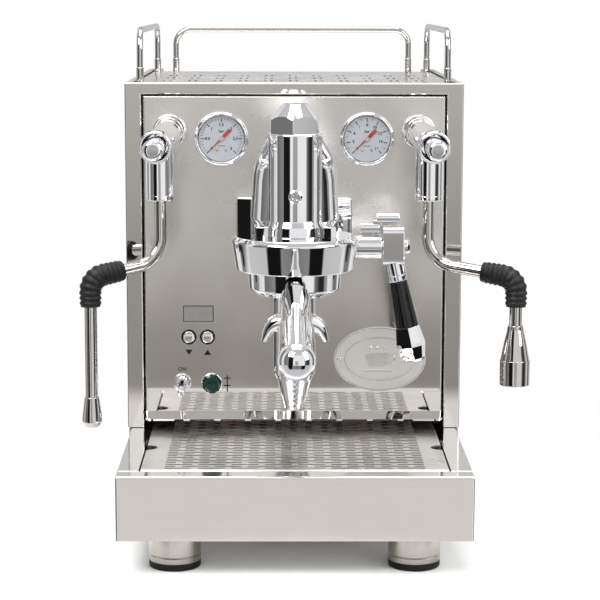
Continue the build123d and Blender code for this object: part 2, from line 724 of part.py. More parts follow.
NUT_TOP = TOWER_TOP + 20.4
with BuildPart() as group_cap_nut:
    bolt((0, GROUP_Y, TOWER_TOP), UP, 32, NUT_TOP - TOWER_TOP, turn=24)
    cone = [(TOWER_TOP - 1, 0), (TOWER_TOP - 1, 20), (NUT_TOP - 9.6, 20), (NUT_TOP, 9.6), (NUT_TOP, 0)]
    turned((0, GROUP_Y, 0), UP, cone, [0, 0, 0.4], mode=Mode.INTERSECT)
save(group_cap_nut, "group_cap_nut")

# Two hexagon heads beside the tower, and a screw in its front.
with BuildPart() as group_bolts:
    for side in (-1, 1):
        bolt((side * 23.6, GROUP_Y - 16, BELL_TOP), UP, 8.5, 8)
    front_screw = [(0, 0), (0, 4.9), (1.8, 4.9), (1.8, 0)]
    turned((0, GROUP_Y - TOWER_R - 0.05, 265), FORWARD, front_screw, [0, 0.6])
save(group_bolts, "group_bolts")

with BuildPart() as drain_nozzle:
    nozzle = [(101, 0), (101, 6.5), (124, 13.0), (128, 15.2), (200, 15.2), (200, 0)]
    turned((0, COLUMN_Y, 0), UP, nozzle, [1.5, 2, 1, 0.5])
save(drain_nozzle, "drain_nozzle")

# Brew lever: a housing on the group's side, and a shaft with an arm that turns in it.
with BuildPart() as lever_housing:
    housing = [(30, 4.4), (30, 9.15), (64, 9.15), (64, 4.4), (30, 4.4)]
    turned((0, LEVER_Y, LEVER_Z), RIGHT, housing, [0, 0, 1, 0])
    plunger = [(48.4, 0), (48.4, 4.15), (64.0, 4.15), (64.0, 0)]
    turned((0, LEVER_Y, LEVER_Z + 14), RIGHT, plunger, [0.5, 0.5])
    stop = [(60, 0), (60, 3.8), (76.8, 3.8), (76.8, 0)]
    turned((0, LEVER_Y, LEVER_Z + 21.2), RIGHT, stop, [0.3, 0.5])
    box((49, 58), (LEVER_Y - 3, LEVER_Y + 3), (LEVER_Z + 8, LEVER_Z + 12))
    box((57, 63.5), (LEVER_Y - 3, LEVER_Y + 3), (LEVER_Z + 15, LEVER_Z + 20))
save(lever_housing, "lever_housing")

ARM_X = 71.0
arm_way = Vector(0.21, 0, -1).normalized()
HUB_X = 72.6
HUB_HALF = 7.7
HUB_DEPTH = 16.0
with BuildPart() as brew_lever:
    hub_start = HUB_X - HUB_HALF
    shaft = [(6, 0), (6, 4), (hub_start - 0.5, 4), (hub_start - 0.5, 6), (82.5, 6), (84.6, 4.6), (84.6, 0)]
    turned((0, LEVER_Y, LEVER_Z), RIGHT, shaft, [0.5, 0, 0, 0.5, 0.5])
    hub_depth = (LEVER_Y - HUB_DEPTH / 2, LEVER_Y + HUB_DEPTH / 2)
    box((hub_start, HUB_X + HUB_HALF), hub_depth, (LEVER_Z - 12.5, LEVER_Z + 15.5))
    fillet(brew_lever.edges().filter_by(Axis.X).filter_by(lambda e: abs(e.length - 2 * HUB_HALF) < 0.1), 5)
    collar = [(8, 0), (8, 7.3), (25.5, 7.3), (25.5, 4.8), (30, 4.8), (30, 3.4), (76, 3.4), (76, 0)]
    turned((ARM_X, LEVER_Y, LEVER_Z), arm_way, collar, [1, 1, 0, 0.5, 0, 0.5])
save(brew_lever, "brew_lever")

with BuildPart() as brew_lever_grip:
    grip = [(25.8, 5.1), (25.8, 6.5), (60.5, 8.5), (72, 10.3), (86.7, 8.4), (86.7, 0), (76.1, 0)]
    grip += [(76.1, 3.5), (30.2, 3.5), (30.2, 5.1), (25.8, 5.1)]
    turned((ARM_X, LEVER_Y, LEVER_Z), arm_way, grip, [0, 0.8, 0, 1.5, 1.5, 0, 0, 0, 0, 0])
save(brew_lever_grip, "brew_lever_grip")

# Portafilter: a forged bowl with two ears and a sloping neck.
slope = radians(HANDLE_SLOPE)
neck_way = (0, -cos(slope), -sin(slope))
neck_length = (GROUP_Y - HANDLE_END[1]) / cos(slope)
neck_root_z = HANDLE_END[2] + neck_length * sin(slope)
with BuildPart() as portafilter_body:
    bowl = [
        (194.5, 0),
        (194.5, 27),
        (198.3, 32.4),
        (222, 33.6),
        (222, 30.2),
        (199, 30.2),
        (199, 0),
    ]
    turned((0, GROUP_Y, 0), UP, bowl, [3, 3, 0.4, 0.4, 1])
    neck = [(30, 0), (30, 7.6), (50, 7.6), (58, 10.4), (118, 10.4), (118, 0)]
    turned((0, GROUP_Y, neck_root_z), neck_way, neck, [0, 4, 4, 1])
    turned((0, GROUP_Y, 0), UP, [(199, 0), (199, 30.2), (240, 30.2), (240, 0)], [0, 0], mode=Mode.SUBTRACT)
    with BuildSketch(top_plane(LUG_TOP + 0.4)):
        with Locations((0, GROUP_Y)):
            Circle(37.4)
            Circle(32.6, mode=Mode.SUBTRACT)
            Rectangle(30, 100, mode=Mode.SUBTRACT)
            with Locations((0, 29), (0, -29)):
                Rectangle(100, 30, mode=Mode.SUBTRACT)
    extrude(amount=4)
save(portafilter_body, "portafilter_body")

with BuildPart() as filter_basket:
    basket = [
        (200, 0),
        (200, 29),
        (222.1, 29.8),
        (222.1, 34),
        (223.2, 34),
        (223.2, 29),
        (201, 28),
        (201, 0),
    ]
    turned((0, GROUP_Y, 0), UP, basket, [3, 0, 0.3, 0.3, 0.5, 2.5])
save(filter_basket, "filter_basket")

SPOUT_X = 18.8
with BuildPart() as portafilter_spout:
    stub = [(176, 0), (176, 7), (194.5, 7), (194.5, 0)]
    turned((0, GROUP_Y, 0), UP, stub, [2, 0])
    for side in (-1, 1):
        route = [(0, 176), (side * SPOUT_X, 173.5), (side * SPOUT_X, 160.5)]
        swept_round(front_plane(GROUP_Y), route, [8], [5.4])
save(portafilter_spout, "portafilter_spout")

with BuildPart() as portafilter_handle:
    end = neck_length + HANDLE_R
    handle = [(118, 0), (118, 10.9), (121.5, HANDLE_R), (end, HANDLE_R), (end, 0)]
    turned((0, GROUP_Y, neck_root_z), neck_way, handle, [0.5, 1.5, 11.9])
save(portafilter_handle, "portafilter_handle")

# Inner parts.
BOILER_R = 56.0
BOILER_Y = 250.0
BOILER_Z = 214.0
BOILER_HALF = 92.0
with BuildPart() as boiler:
    shell = [(-BOILER_HALF, 0), (-BOILER_HALF, BOILER_R), (BOILER_HALF, BOILER_R), (BOILER_HALF, 0)]
    turned((0, BOILER_Y, BOILER_Z), RIGHT, shell, [12, 12])
    inside = [(-BOILER_HALF + 2, 0), (-BOILER_HALF + 2, BOILER_R - 2), (BOILER_HALF - 2, BOILER_R - 2)]
    inside += [(BOILER_HALF - 2, 0)]
    with Locations(Plane(origin=at(BOILER_HALF, BOILER_Y, BOILER_Z - 24), z_dir=RIGHT)):
        Hole(radius=16, depth=6)
    for x in ((-60, -40), (40, 60)):
        box(x, (BOILER_Y - 30, BOILER_Y + 30), (BASE_TOP + 0.5, BOILER_Z - BOILER_R + 8))
    turned((0, BOILER_Y, BOILER_Z), RIGHT, inside, [10, 10], mode=Mode.SUBTRACT)
save(boiler, "boiler")

ELEMENT_Z = BOILER_Z - 24
with BuildPart() as heating_element:
    start = BOILER_HALF
    flange = [(start, 0), (start, 22), (start + 5, 22), (start + 5, 12), (start + 14, 12), (start + 14, 0)]
    turned((0, BOILER_Y, ELEMENT_Z), RIGHT, flange, [0, 0.5, 0, 1])
    near, far = BOILER_Y - 10, BOILER_Y + 10
    route = [(start + 1, near), (-60, near), (-60, far), (start + 1, far)]
    swept_round(top_plane(ELEMENT_Z), route, [9.5, 9.5], [4])
save(heating_element, "heating_element")

with BuildPart() as boiler_pipes:
    front_of_boiler = BOILER_Y - (BOILER_R**2 - (PIPE_Z - BOILER_Z) ** 2) ** 0.5
    for x in PIPE_XS:
        plain_ring((x, PANEL_Y, PIPE_Z), BACK, (-8.5, front_of_boiler - PANEL_Y - 2.3), (3.8, 5.2))
    for side in (-1, 1):
        with BuildLine() as path:
            FilletPolyline(
                at(side * TAP_FOOT[0], PANEL_Y + 15.5, TAP_FOOT[1]),
                at(side * TAP_FOOT[0], BOILER_Y, TAP_FOOT[1]),
                at(side * 50, BOILER_Y, TAP_FOOT[1]),
                at(side * 50, BOILER_Y, BOILER_Z + BOILER_R + 0.5),
                radius=14,
            )
        with BuildSketch(Plane(origin=path.line @ 0, z_dir=path.line % 0)) as section:
            Circle(4)
            Circle(3, mode=Mode.SUBTRACT)
        sweep(section.sketch, path=path.line)
save(boiler_pipes, "boiler_pipes")

DECK_TOP = BASE_TOP + 0.5
with BuildPart() as water_tank:
    box((-92, 92), (340, 420), (DECK_TOP, 320))
    fillet(water_tank.edges().filter_by(Axis.Z), 10)
    box((-89.5, 89.5), (342.5, 417.5), (DECK_TOP + 2.5, 320), mode=Mode.SUBTRACT)
save(water_tank, "water_tank")

with BuildPart() as pump:
    motor = [(0, 0), (0, 7), (22, 7), (22, 22), (82, 22), (82, 6), (108, 6), (108, 0)]
    turned((88, 190, 106), BACK, motor, [1, 1, 3, 3, 1, 1])
    box((76, 100), (215, 268), (DECK_TOP, 92))
save(pump, "pump")

with BuildPart() as control_box:
    box((-112, -10), (308, 336), (DECK_TOP, 190))
    fillet(control_box.edges().filter_by(Axis.Y), 3)
save(control_box, "control_box")

with BuildPart() as power_inlet:
    box((-23.6, 23.6), (424, BACK_Y - SHEET), (108.4, 135.6))
    box((-28, 28), (BACK_Y - SHEET, BACK_Y + 1.2), (104, 140))
    fillet(power_inlet.faces().sort_by(Axis.Y)[-1].edges(), 0.6)
    box((-12.5, 12.5), (BACK_Y - 18, BACK_Y + 2), (114, 130), mode=Mode.SUBTRACT)
    for x in (-7, 0, 7):
        box((x - 1, x + 1), (BACK_Y - 18, BACK_Y - 3), (119, 125))
save(power_inlet, "power_inlet")
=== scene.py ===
import json
from math import ceil, cos, pi, radians, sin, tan

import bmesh
import bpy
from mathutils import Matrix, Vector


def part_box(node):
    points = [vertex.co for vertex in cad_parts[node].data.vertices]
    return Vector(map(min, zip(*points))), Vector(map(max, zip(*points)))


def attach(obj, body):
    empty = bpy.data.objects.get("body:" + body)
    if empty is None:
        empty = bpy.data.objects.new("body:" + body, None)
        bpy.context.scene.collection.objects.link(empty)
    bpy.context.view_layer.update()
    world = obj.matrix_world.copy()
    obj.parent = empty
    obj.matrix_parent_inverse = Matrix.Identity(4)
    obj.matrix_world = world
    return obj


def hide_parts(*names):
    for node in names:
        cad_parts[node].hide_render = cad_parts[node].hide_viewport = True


# The looks of an espresso machine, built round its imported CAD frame. Places are given in mm as
# x to the right, y to the back from the drawer's front face, and z up from the floor, as in
# the part's source; at() turns them into metres of the shared frame.

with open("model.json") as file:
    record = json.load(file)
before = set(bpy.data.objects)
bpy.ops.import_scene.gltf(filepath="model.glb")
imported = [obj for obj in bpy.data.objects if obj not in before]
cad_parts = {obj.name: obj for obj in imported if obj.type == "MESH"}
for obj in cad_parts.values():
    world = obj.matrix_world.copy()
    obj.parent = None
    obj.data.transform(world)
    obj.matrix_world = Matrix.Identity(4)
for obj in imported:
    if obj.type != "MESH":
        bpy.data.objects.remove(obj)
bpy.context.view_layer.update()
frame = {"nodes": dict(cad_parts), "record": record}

MM = 0.001
drawer_low, drawer_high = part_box("drip_tray_front")
CENTRE_X = (drawer_low.x + drawer_high.x) / 2
FRONT_Y = drawer_low.y
BODIES = {node: body for body, nodes in frame["record"]["behaviour"]["bodies"].items() for node in nodes}

# Places shared by several pieces
PANEL_Y = 157.0
GAUGE_X, GAUGE_Z, GAUGE_R, DIAL_R = 54.8, 296.5, 20.25, 17.15
DISPLAY = (-72.9, 163.0)
BUTTON_XS, BUTTON_Z = (-80.2, -66.0), 145.0
SWITCH, SWITCH_TILT, SWITCH_PIVOT = (-85.6, 109.5), 13.0, 4.0
LAMP = (-62.9, 109.0)
BADGE, BADGE_SIZE = (65.8, 128.0), (70.5, 50.0)
TAP_FOOT, TAP_MOUTH, JOYSTICK = (93.5, 302.5), (98.9, 77.0, 296.7), (98.6, 81.0, 297.0)
WAND_X, WAND_Y = 98.9, 117.0
STEAM_TIP, WATER_TIP = (-148.0, 85.0), (161.0, 86.0)
GROUP_Y, BELL_TOP, BELL_BOTTOM, BELL_R, BELL_BORE = 52.0, 236.0, 212.0, 45.0, 38.2
TOWER_R, TOWER_TOP, COLUMN_Y = 19.0, 308.0, 100.0
LEVER_Y, LEVER_Z, ARM_X, HUB_X = 105.0, 221.0, 71.0, 72.6
HANDLE_SLOPE, HANDLE_END, HANDLE_R = 11.8, (0.0, -113.0, 176.7), 12.2
UP, FORWARD, BACK, RIGHT = (0, 0, 1), (0, -1, 0), (0, 1, 0), (1, 0, 0)
SEGMENTS = 96
PRINT_HEIGHT = 0.03
ON_AXIS = 1e-4  # a smaller radius, in mm, is a point on the axis
NEARLY_STRAIGHT = 0.005  # a bend smaller than twice this, in radians, isn't rounded
JUST_UNDER_HALF = 0.499  # the share of a leg that one arc may take up


def at(x, y, z):
    return Vector((CENTRE_X + x * MM, FRONT_Y + y * MM, z * MM))


# ---------------------------------------------------------------- materials


class Nodes:
    """A node tree that is filled by calls."""

    def __init__(self, tree, empty=True):
        self.tree = tree
        if empty:
            tree.nodes.clear()

    def add(self, kind, inputs=None, **settings):
        node = self.tree.nodes.new(kind)
        for name, value in settings.items():
            setattr(node, name, value)
        for name, value in (inputs or {}).items():
            self.set(node.inputs[name], value)
        return node

    def set(self, socket, value):
        if isinstance(value, bpy.types.NodeSocket):
            self.tree.links.new(value, socket)
        else:
            socket.default_value = value

    def math(self, operation, *values):
        node = self.add("ShaderNodeMath", operation=operation)
        for socket, value in zip(node.inputs, values):
            self.set(socket, value)
        return node.outputs[0]

    def noise(self, scale, stretch=(1, 1, 1), detail=3.0, roughness=0.5):
        """Noise in the piece's own coordinates: scale is in features per metre."""
        mapped = self.add("ShaderNodeMapping", {"Vector": self.place(), "Scale": stretch}).outputs[0]
        made = self.add("ShaderNodeTexNoise", {"Vector": mapped, "Scale": scale, "Detail": detail})
        made.inputs["Roughness"].default_value = roughness
        return made.outputs["Fac"]

    def spread(self, value, low, high):
        """Noise values, which lie about 0.5, stretched to run from low to high."""
        node = self.add("ShaderNodeMapRange", {"Value": value, "From Min": 0.3, "From Max": 0.7})
        node.inputs["To Min"].default_value = low
        node.inputs["To Max"].default_value = high
        return node.outputs[0]

    def climb(self, value, start, end, top=1.0, smooth=False):
        """From 0 where the value is start to top where it is end."""
        node = self.add("ShaderNodeMapRange", {"Value": value, "From Min": start, "From Max": end})
        node.inputs["To Max"].default_value = top
        if smooth:
            node.interpolation_type = "SMOOTHSTEP"
        return node.outputs[0]

    def ramp(self, share, stops):
        """A colour ramp. Each stop is a position and either a grey value or a colour."""
        node = self.add("ShaderNodeValToRGB", {"Fac": share})
        elements = node.color_ramp.elements
        elements.remove(elements[0])
        for i, (position, value) in enumerate(stops):
            stop = elements[0] if i == 0 else elements.new(position)
            stop.position = position
            stop.color = (*value, 1) if isinstance(value, tuple) else (value, value, value, 1)
        return node.outputs["Color"]

    def blend(self, share, low, high):
        """A colour that goes from low to high as the share goes from 0 to 1."""
        node = self.add("ShaderNodeMix", data_type="RGBA")
        self.set(node.inputs["Factor"], share)
        for socket in node.inputs:
            if socket.type == "RGBA":
                self.set(socket, low if socket.name == "A" else high)
        return [s for s in node.outputs if s.type == "RGBA"][0]

    def bump(self, height, distance):
        return self.add("ShaderNodeBump", {"Height": height, "Distance": distance}).outputs[0]

    def place(self):
        """The piece's own coordinates."""
        return self.add("ShaderNodeTexCoord").outputs["Object"]


def shade(colour, amount):
    return tuple(c * amount for c in colour) + (1.0,)


def finish_of(name, colour, rough, stains, grain, **sockets):
    """A surface with uneven colour and gloss at one scale and fine relief at another.

    rough is the span of roughness. stains is (features per metre, colour change), and grain is
    (features per metre, stretch, height in mm).
    """
    material = bpy.data.materials.new(name)
    material.use_nodes = True
    nodes = Nodes(material.node_tree)
    patches = nodes.noise(stains[0], detail=4.0)
    tone = nodes.spread(patches, 0.0, 1.0)
    relief = nodes.noise(grain[0], grain[1], detail=5.0, roughness=0.6)
    worn = nodes.math("ADD", nodes.math("MULTIPLY", tone, 0.5), nodes.math("MULTIPLY", relief, 0.5))
    shader = nodes.add(
        "ShaderNodeBsdfPrincipled",
        {
            "Base Color": nodes.blend(tone, shade(colour, 1 - stains[1]), shade(colour, 1 + stains[1])),
            "Roughness": nodes.spread(worn, *rough),
            "Normal": nodes.bump(relief, grain[2] * MM),
        },
    )
    for socket, value in sockets.items():
        shader.inputs[socket.replace("_", " ")].default_value = value
    nodes.add("ShaderNodeOutputMaterial", {"Surface": shader.outputs[0]})
    return material


EVEN = (1, 1, 1)
ALONG_X, ALONG_Z = (0.03, 1, 1), (1, 1, 0.03)

mirror_steel = finish_of(
    "mirror_steel", (0.83, 0.815, 0.795), (0.015, 0.035), (14, 0.02), (22, EVEN, 0.006), Metallic=1.0
)
panel_steel = finish_of(
    "panel_steel", (0.77, 0.75, 0.725), (0.02, 0.05), (14, 0.025), (20, EVEN, 0.003), Metallic=1.0
)


def cloud_upwards(material, low, high, extra):
    """Roughness that grows with the height between two heights in metres."""
    nodes = Nodes(material.node_tree, empty=False)
    shader = next(node for node in nodes.tree.nodes if node.type == "BSDF_PRINCIPLED")
    roughness = shader.inputs["Roughness"]
    polish = roughness.links[0].from_socket
    height = nodes.add("ShaderNodeSeparateXYZ", {"Vector": nodes.place()}).outputs["Z"]
    haze = nodes.climb(height, low, high, extra, smooth=True)
    nodes.set(roughness, nodes.math("ADD", polish, haze))


cloud_upwards(panel_steel, 0.10, 0.24, 0.24)
side_steel = finish_of(
    "side_steel", (0.66, 0.645, 0.625), (0.24, 0.34), (12, 0.03), (700, ALONG_Z, 0.002), Metallic=1.0
)
satin_steel = finish_of(
    "satin_steel", (0.70, 0.685, 0.665), (0.20, 0.32), (30, 0.04), (900, ALONG_X, 0.006), Metallic=1.0
)
tray_steel = finish_of(
    "tray_steel", (0.80, 0.785, 0.765), (0.06, 0.12), (40, 0.03), (500, ALONG_X, 0.002), Metallic=1.0
)
grate_steel = finish_of(
    "grate_steel", (0.84, 0.82, 0.80), (0.26, 0.34), (40, 0.04), (900, ALONG_X, 0.003), Metallic=1.0
)
tube_steel = finish_of(
    "tube_steel", (0.56, 0.54, 0.52), (0.05, 0.11), (60, 0.04), (500, EVEN, 0.002), Metallic=1.0
)
foot_steel = finish_of(
    "foot_steel", (0.52, 0.49, 0.45), (0.16, 0.26), (60, 0.05), (900, ALONG_Z, 0.003), Metallic=1.0
)
chrome = finish_of(
    "chrome", (0.80, 0.80, 0.81), (0.02, 0.05), (60, 0.02), (420, EVEN, 0.0012), Metallic=1.0
)
pearl_plate = finish_of(
    "pearl_plate", (0.70, 0.685, 0.66), (0.34, 0.46), (60, 0.03), (2600, EVEN, 0.012), Metallic=0.35
)
black_rubber = finish_of(
    "black_rubber", (0.011, 0.011, 0.012), (0.42, 0.60), (120, 0.25), (1800, EVEN, 0.02),
    Specular_IOR_Level=0.28,
)
black_plastic = finish_of(
    "black_plastic", (0.008, 0.008, 0.009), (0.06, 0.14), (90, 0.15), (2400, EVEN, 0.002),
    Specular_IOR_Level=0.40,
)
white_dial = finish_of(
    "white_dial", (0.84, 0.855, 0.91), (0.45, 0.60), (180, 0.015), (2200, EVEN, 0.003)
)
black_ink = finish_of(
    "black_ink", (0.015, 0.015, 0.018), (0.5, 0.7), (500, 0.2), (2500, EVEN, 0.003), Specular_IOR_Level=0.2
)
red_paint = finish_of("red_paint", (0.62, 0.05, 0.045), (0.28, 0.4), (300, 0.05), (2000, EVEN, 0.003))
brass = finish_of("brass", (0.72, 0.50, 0.22), (0.2, 0.35), (300, 0.08), (1500, EVEN, 0.004), Metallic=1.0)
copper = finish_of("copper", (0.72, 0.36, 0.22), (0.22, 0.4), (45, 0.12), (500, EVEN, 0.01), Metallic=1.0)
display_grey = finish_of(
    "display_grey", (0.30, 0.30, 0.29), (0.12, 0.2), (200, 0.04), (2500, EVEN, 0.002)
)
tank_plastic = finish_of(
    "tank_plastic",
    (0.78, 0.82, 0.84),
    (0.25, 0.4),
    (50, 0.03),
    (800, EVEN, 0.01),
    Transmission_Weight=0.75,
    IOR=1.5,
)
green_lens = finish_of(
    "green_lens", (0.0, 0.026, 0.021), (0.05, 0.12), (300, 0.2), (1500, EVEN, 0.003), IOR=1.49
)
clear_glass = finish_of(
    "clear_glass", (0.97, 0.98, 0.985), (0.0, 0.02), (80, 0.01), (300, EVEN, 0.0004), Transmission_Weight=1.0
)


# ---------------------------------------------------------------- mesh building


def rounded(points, radii, steps=7):
    """A line through the points with its inner corners turned into arcs; a missing radius is 0."""
    points = [Vector(p) for p in points]
    radii = list(radii) + [0] * (len(points) - 2 - len(radii))
    line = [points[0]]
    for before, corner, after, radius in zip(points, points[1:], points[2:], radii):
        if radius <= 0:
            line.append(corner)
            continue
        to_start, to_end = (before - corner).normalized(), (after - corner).normalized()
        half = to_start.angle(to_end) / 2
        if half > pi / 2 - NEARLY_STRAIGHT:
            line.append(corner)
            continue
        room = JUST_UNDER_HALF * min((before - corner).length, (after - corner).length)
        reach = min(radius / tan(half), room)
        radius = reach * tan(half)
        centre = corner + (to_start + to_end).normalized() * (radius / sin(half))
        start, end = corner + to_start * reach - centre, corner + to_end * reach - centre
        sweep = start.angle(end)
        for i in range(steps + 1):
            t = i / steps
            arc = (start * sin((1 - t) * sweep) + end * sin(t * sweep)) / sin(sweep)
            line.append(centre + arc)
    line.append(points[-1])
    return line


class Piece:
    """A mesh that is built up from turned, swept and flat shapes, with sizes in mm."""

    def __init__(self, name):
        self.name = name
        self.bm = bmesh.new()

    def skin(self, rings, closed=False):
        """Faces between neighbouring rings; a ring of one point closes a dome."""
        if closed:
            rings = rings[:-1] + [rings[0]]
        for low, high in zip(rings, rings[1:]):
            count = max(len(low), len(high))
            for i in range(count):
                j = (i + 1) % count
                corners = [low[i % len(low)], low[j % len(low)], high[j % len(high)], high[i % len(high)]]
                corners = list(dict.fromkeys(corners))
                if len(corners) > 2:
                    self.bm.faces.new(corners)

    def ring(self, centre, side, across, radius, segments):
        """Points on a circle in the plane of side and across."""
        turns = [2 * pi * i / segments for i in range(segments)]
        spokes = [side * cos(t) + across * sin(t) for t in turns]
        return [self.bm.verts.new(centre + spoke * radius * MM) for spoke in spokes]

    def turn(self, origin, direction, outline, radii=(), segments=SEGMENTS):
        """A turned shape. The outline is a list of (distance along the axis, radius) in mm, and
        radii round its inner corners."""
        closed = outline[0] == outline[-1]
        along = Vector(direction).normalized()
        side = along.orthogonal().normalized()
        across = along.cross(side)
        base = at(*origin)
        rings = []
        for distance, radius in rounded(outline, radii):
            centre = base + along * distance * MM
            if radius < ON_AXIS:
                rings.append([self.bm.verts.new(centre)])
            else:
                rings.append(self.ring(centre, side, across, radius, segments))
        self.skin(rings, closed)

    def sweep(self, points, radii, thickness, step=1.5, segments=32, steps=14):
        """A round bar along a bent line. thickness is a radius, or a function of the share of
        the length and of the length in mm that gives one."""
        line = [at(*p) for p in rounded(points, radii, steps)]
        lengths = [0.0]
        for a, b in zip(line, line[1:]):
            lengths.append(lengths[-1] + (b - a).length)
        total = lengths[-1]
        if callable(thickness):
            count = ceil(total / (step * MM))
            places, k = [], 0
            for i in range(count + 1):
                s = total * i / count
                while k < len(lengths) - 2 and lengths[k + 1] < s:
                    k += 1
                span = max(lengths[k + 1] - lengths[k], 1e-9)
                places.append(line[k].lerp(line[k + 1], (s - lengths[k]) / span))
            line = places
            sizes = [thickness(i / count, total * i / count / MM) for i in range(count + 1)]
        else:
            sizes = [thickness] * len(line)
        tangents = []
        for i in range(len(line)):
            ahead, behind = line[min(i + 1, len(line) - 1)], line[max(i - 1, 0)]
            tangents.append((ahead - behind).normalized())
        side = tangents[0].orthogonal().normalized()
        rings = [[self.bm.verts.new(line[0])]]
        for centre, way, size in zip(line, tangents, sizes):
            side = (side - way * side.dot(way)).normalized()
            rings.append(self.ring(centre, side, way.cross(side), size, segments))
        rings.append([self.bm.verts.new(line[-1])])
        self.skin(rings)

    def prism(self, origin, direction, outline, height, x_way=None, bevel=0.0, bevel_steps=3):
        """A flat shape of a given height. The outline is in mm, along x_way and across it."""
        normal = Vector(direction).normalized()
        first = Vector(x_way).normalized() if x_way else normal.orthogonal().normalized()
        second = normal.cross(first)
        base = at(*origin)
        rings = [
            [self.bm.verts.new(base + (first * u + second * v) * MM + normal * h * MM) for u, v in outline]
            for h in (0.0, height)
        ]
        self.skin(rings)
        self.bm.faces.new(rings[0][::-1])
        top = self.bm.faces.new(rings[1])
        if bevel:
            self.bm.normal_update()
            bmesh.ops.bevel(
                self.bm,
                geom=list(top.edges),
                offset=bevel * MM,
                segments=bevel_steps,
                affect="EDGES",
                profile=0.5,
            )

    def block(self, x, y, z, bevel=0.6):
        """A box with all its edges rounded, between the low and high values."""
        middle = at(sum(x) / 2, sum(y) / 2, sum(z) / 2)
        size = Matrix.Diagonal(((x[1] - x[0]) * MM, (y[1] - y[0]) * MM, (z[1] - z[0]) * MM, 1))
        made = bmesh.ops.create_cube(self.bm, size=1.0, matrix=Matrix.Translation(middle) @ size)
        edges = list({e for v in made["verts"] for e in v.link_edges})
        bmesh.ops.bevel(self.bm, geom=edges, offset=bevel * MM, segments=3, affect="EDGES", profile=0.5)

    def text(self, words, size, centre, weight):
        """Raised figures on a surface that faces the front; weight thickens them, in mm."""
        curve = bpy.data.curves.new("figures", "FONT")
        curve.body, curve.size, curve.extrude = words, size * MM, PRINT_HEIGHT * MM
        curve.offset = weight * MM
        curve.align_x, curve.align_y = "CENTER", "CENTER"
        holder = bpy.data.objects.new("figures", curve)
        mesh = bpy.data.meshes.new_from_object(holder)
        known = set(self.bm.verts)
        self.bm.from_mesh(mesh)
        upright = Matrix.Translation(at(*centre)) @ Matrix.Rotation(pi / 2, 4, "X")
        added = [v for v in self.bm.verts if v not in known]
        bmesh.ops.transform(self.bm, matrix=upright, verts=added)
        bpy.data.objects.remove(holder)
        bpy.data.curves.remove(curve)
        bpy.data.meshes.remove(mesh)

    def done(self, material, *nodes, rides=None, slot=None, sharp=28.0):
        """The finished object, which stands for the CAD nodes and rides on their body."""
        bmesh.ops.recalc_face_normals(self.bm, faces=self.bm.faces)
        mesh = bpy.data.meshes.new(self.name)
        self.bm.to_mesh(mesh)
        self.bm.free()
        mesh.shade_smooth()
        mesh.set_sharp_from_angle(angle=radians(sharp))
        made = bpy.data.objects.new(self.name, mesh)
        bpy.context.scene.collection.objects.link(made)
        mesh.materials.append(material)
        even = made.modifiers.new("even_normals", "WEIGHTED_NORMAL")
        even.keep_sharp = True
        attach(made, rides or BODIES[nodes[0]])
        if nodes:
            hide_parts(*nodes)
        return made


def hexagon(across_flats):
    corner = across_flats / 2 / cos(pi / 6)
    return [(corner * cos(pi * i / 3), corner * sin(pi * i / 3)) for i in range(6)]


def ellipse(half_width, half_height, count=96):
    turns = [2 * pi * i / count for i in range(count)]
    return [(half_width * cos(t), half_height * sin(t)) for t in turns]


def rounded_rectangle(width, height, radius, steps=6):
    x, y = width / 2, height / 2
    corners = [(0, -y), (x, -y), (x, y), (-x, y), (-x, -y), (0, -y)]
    return rounded(corners, [radius] * 4, steps)[:-1]


# ---------------------------------------------------------------- CAD sheets that stay

for node, material in {
    "base_frame": tray_steel,
    "front_frame": mirror_steel,
    "left_side_panel": side_steel,
    "right_side_panel": side_steel,
    "back_panel": satin_steel,
    "case_screws": satin_steel,
    "cup_plate": satin_steel,
    "drip_tray_front": tray_steel,
    "drip_tray_pan": satin_steel,
    "drip_grate": grate_steel,
    "front_panel": panel_steel,
    "group_gasket": black_rubber,
    "shower_screen": satin_steel,
    "filter_basket": satin_steel,
    "boiler": copper,
    "heating_element": satin_steel,
    "boiler_pipes": copper,
    "water_tank": tank_plastic,
    "pump": black_plastic,
    "control_box": black_plastic,
    "power_inlet": black_plastic,
    "temperature_display": display_grey,
}.items():
    sheet = frame["nodes"][node]
    sheet.data.materials.clear()
    sheet.data.materials.append(material)

# ---------------------------------------------------------------- feet and rails

FOOT_XS, FOOT_YS = (-85.5, 85.5), (38.0, 409.0)
sleeves, pads = Piece("foot_sleeve_turned"), Piece("foot_pad_moulded")
for x in FOOT_XS:
    for y in FOOT_YS:
        outline = [(5, 0), (5, 18.6), (9, 18.6), (9.6, 18.1), (10.2, 18.6), (28, 18.6), (28, 0)]
        sleeves.turn((x, y, 0), UP, outline, [0.6, 0.2, 0.2, 0.2, 0.5])
        pads.turn((x, y, 0), UP, [(0, 0), (0, 18.5), (4.9, 18.5), (4.9, 0)], [1.6, 0.4])
sleeves.done(foot_steel, "foot_sleeves", slot="satin_steel")
pads.done(black_rubber, "foot_pads", slot="black_rubber")

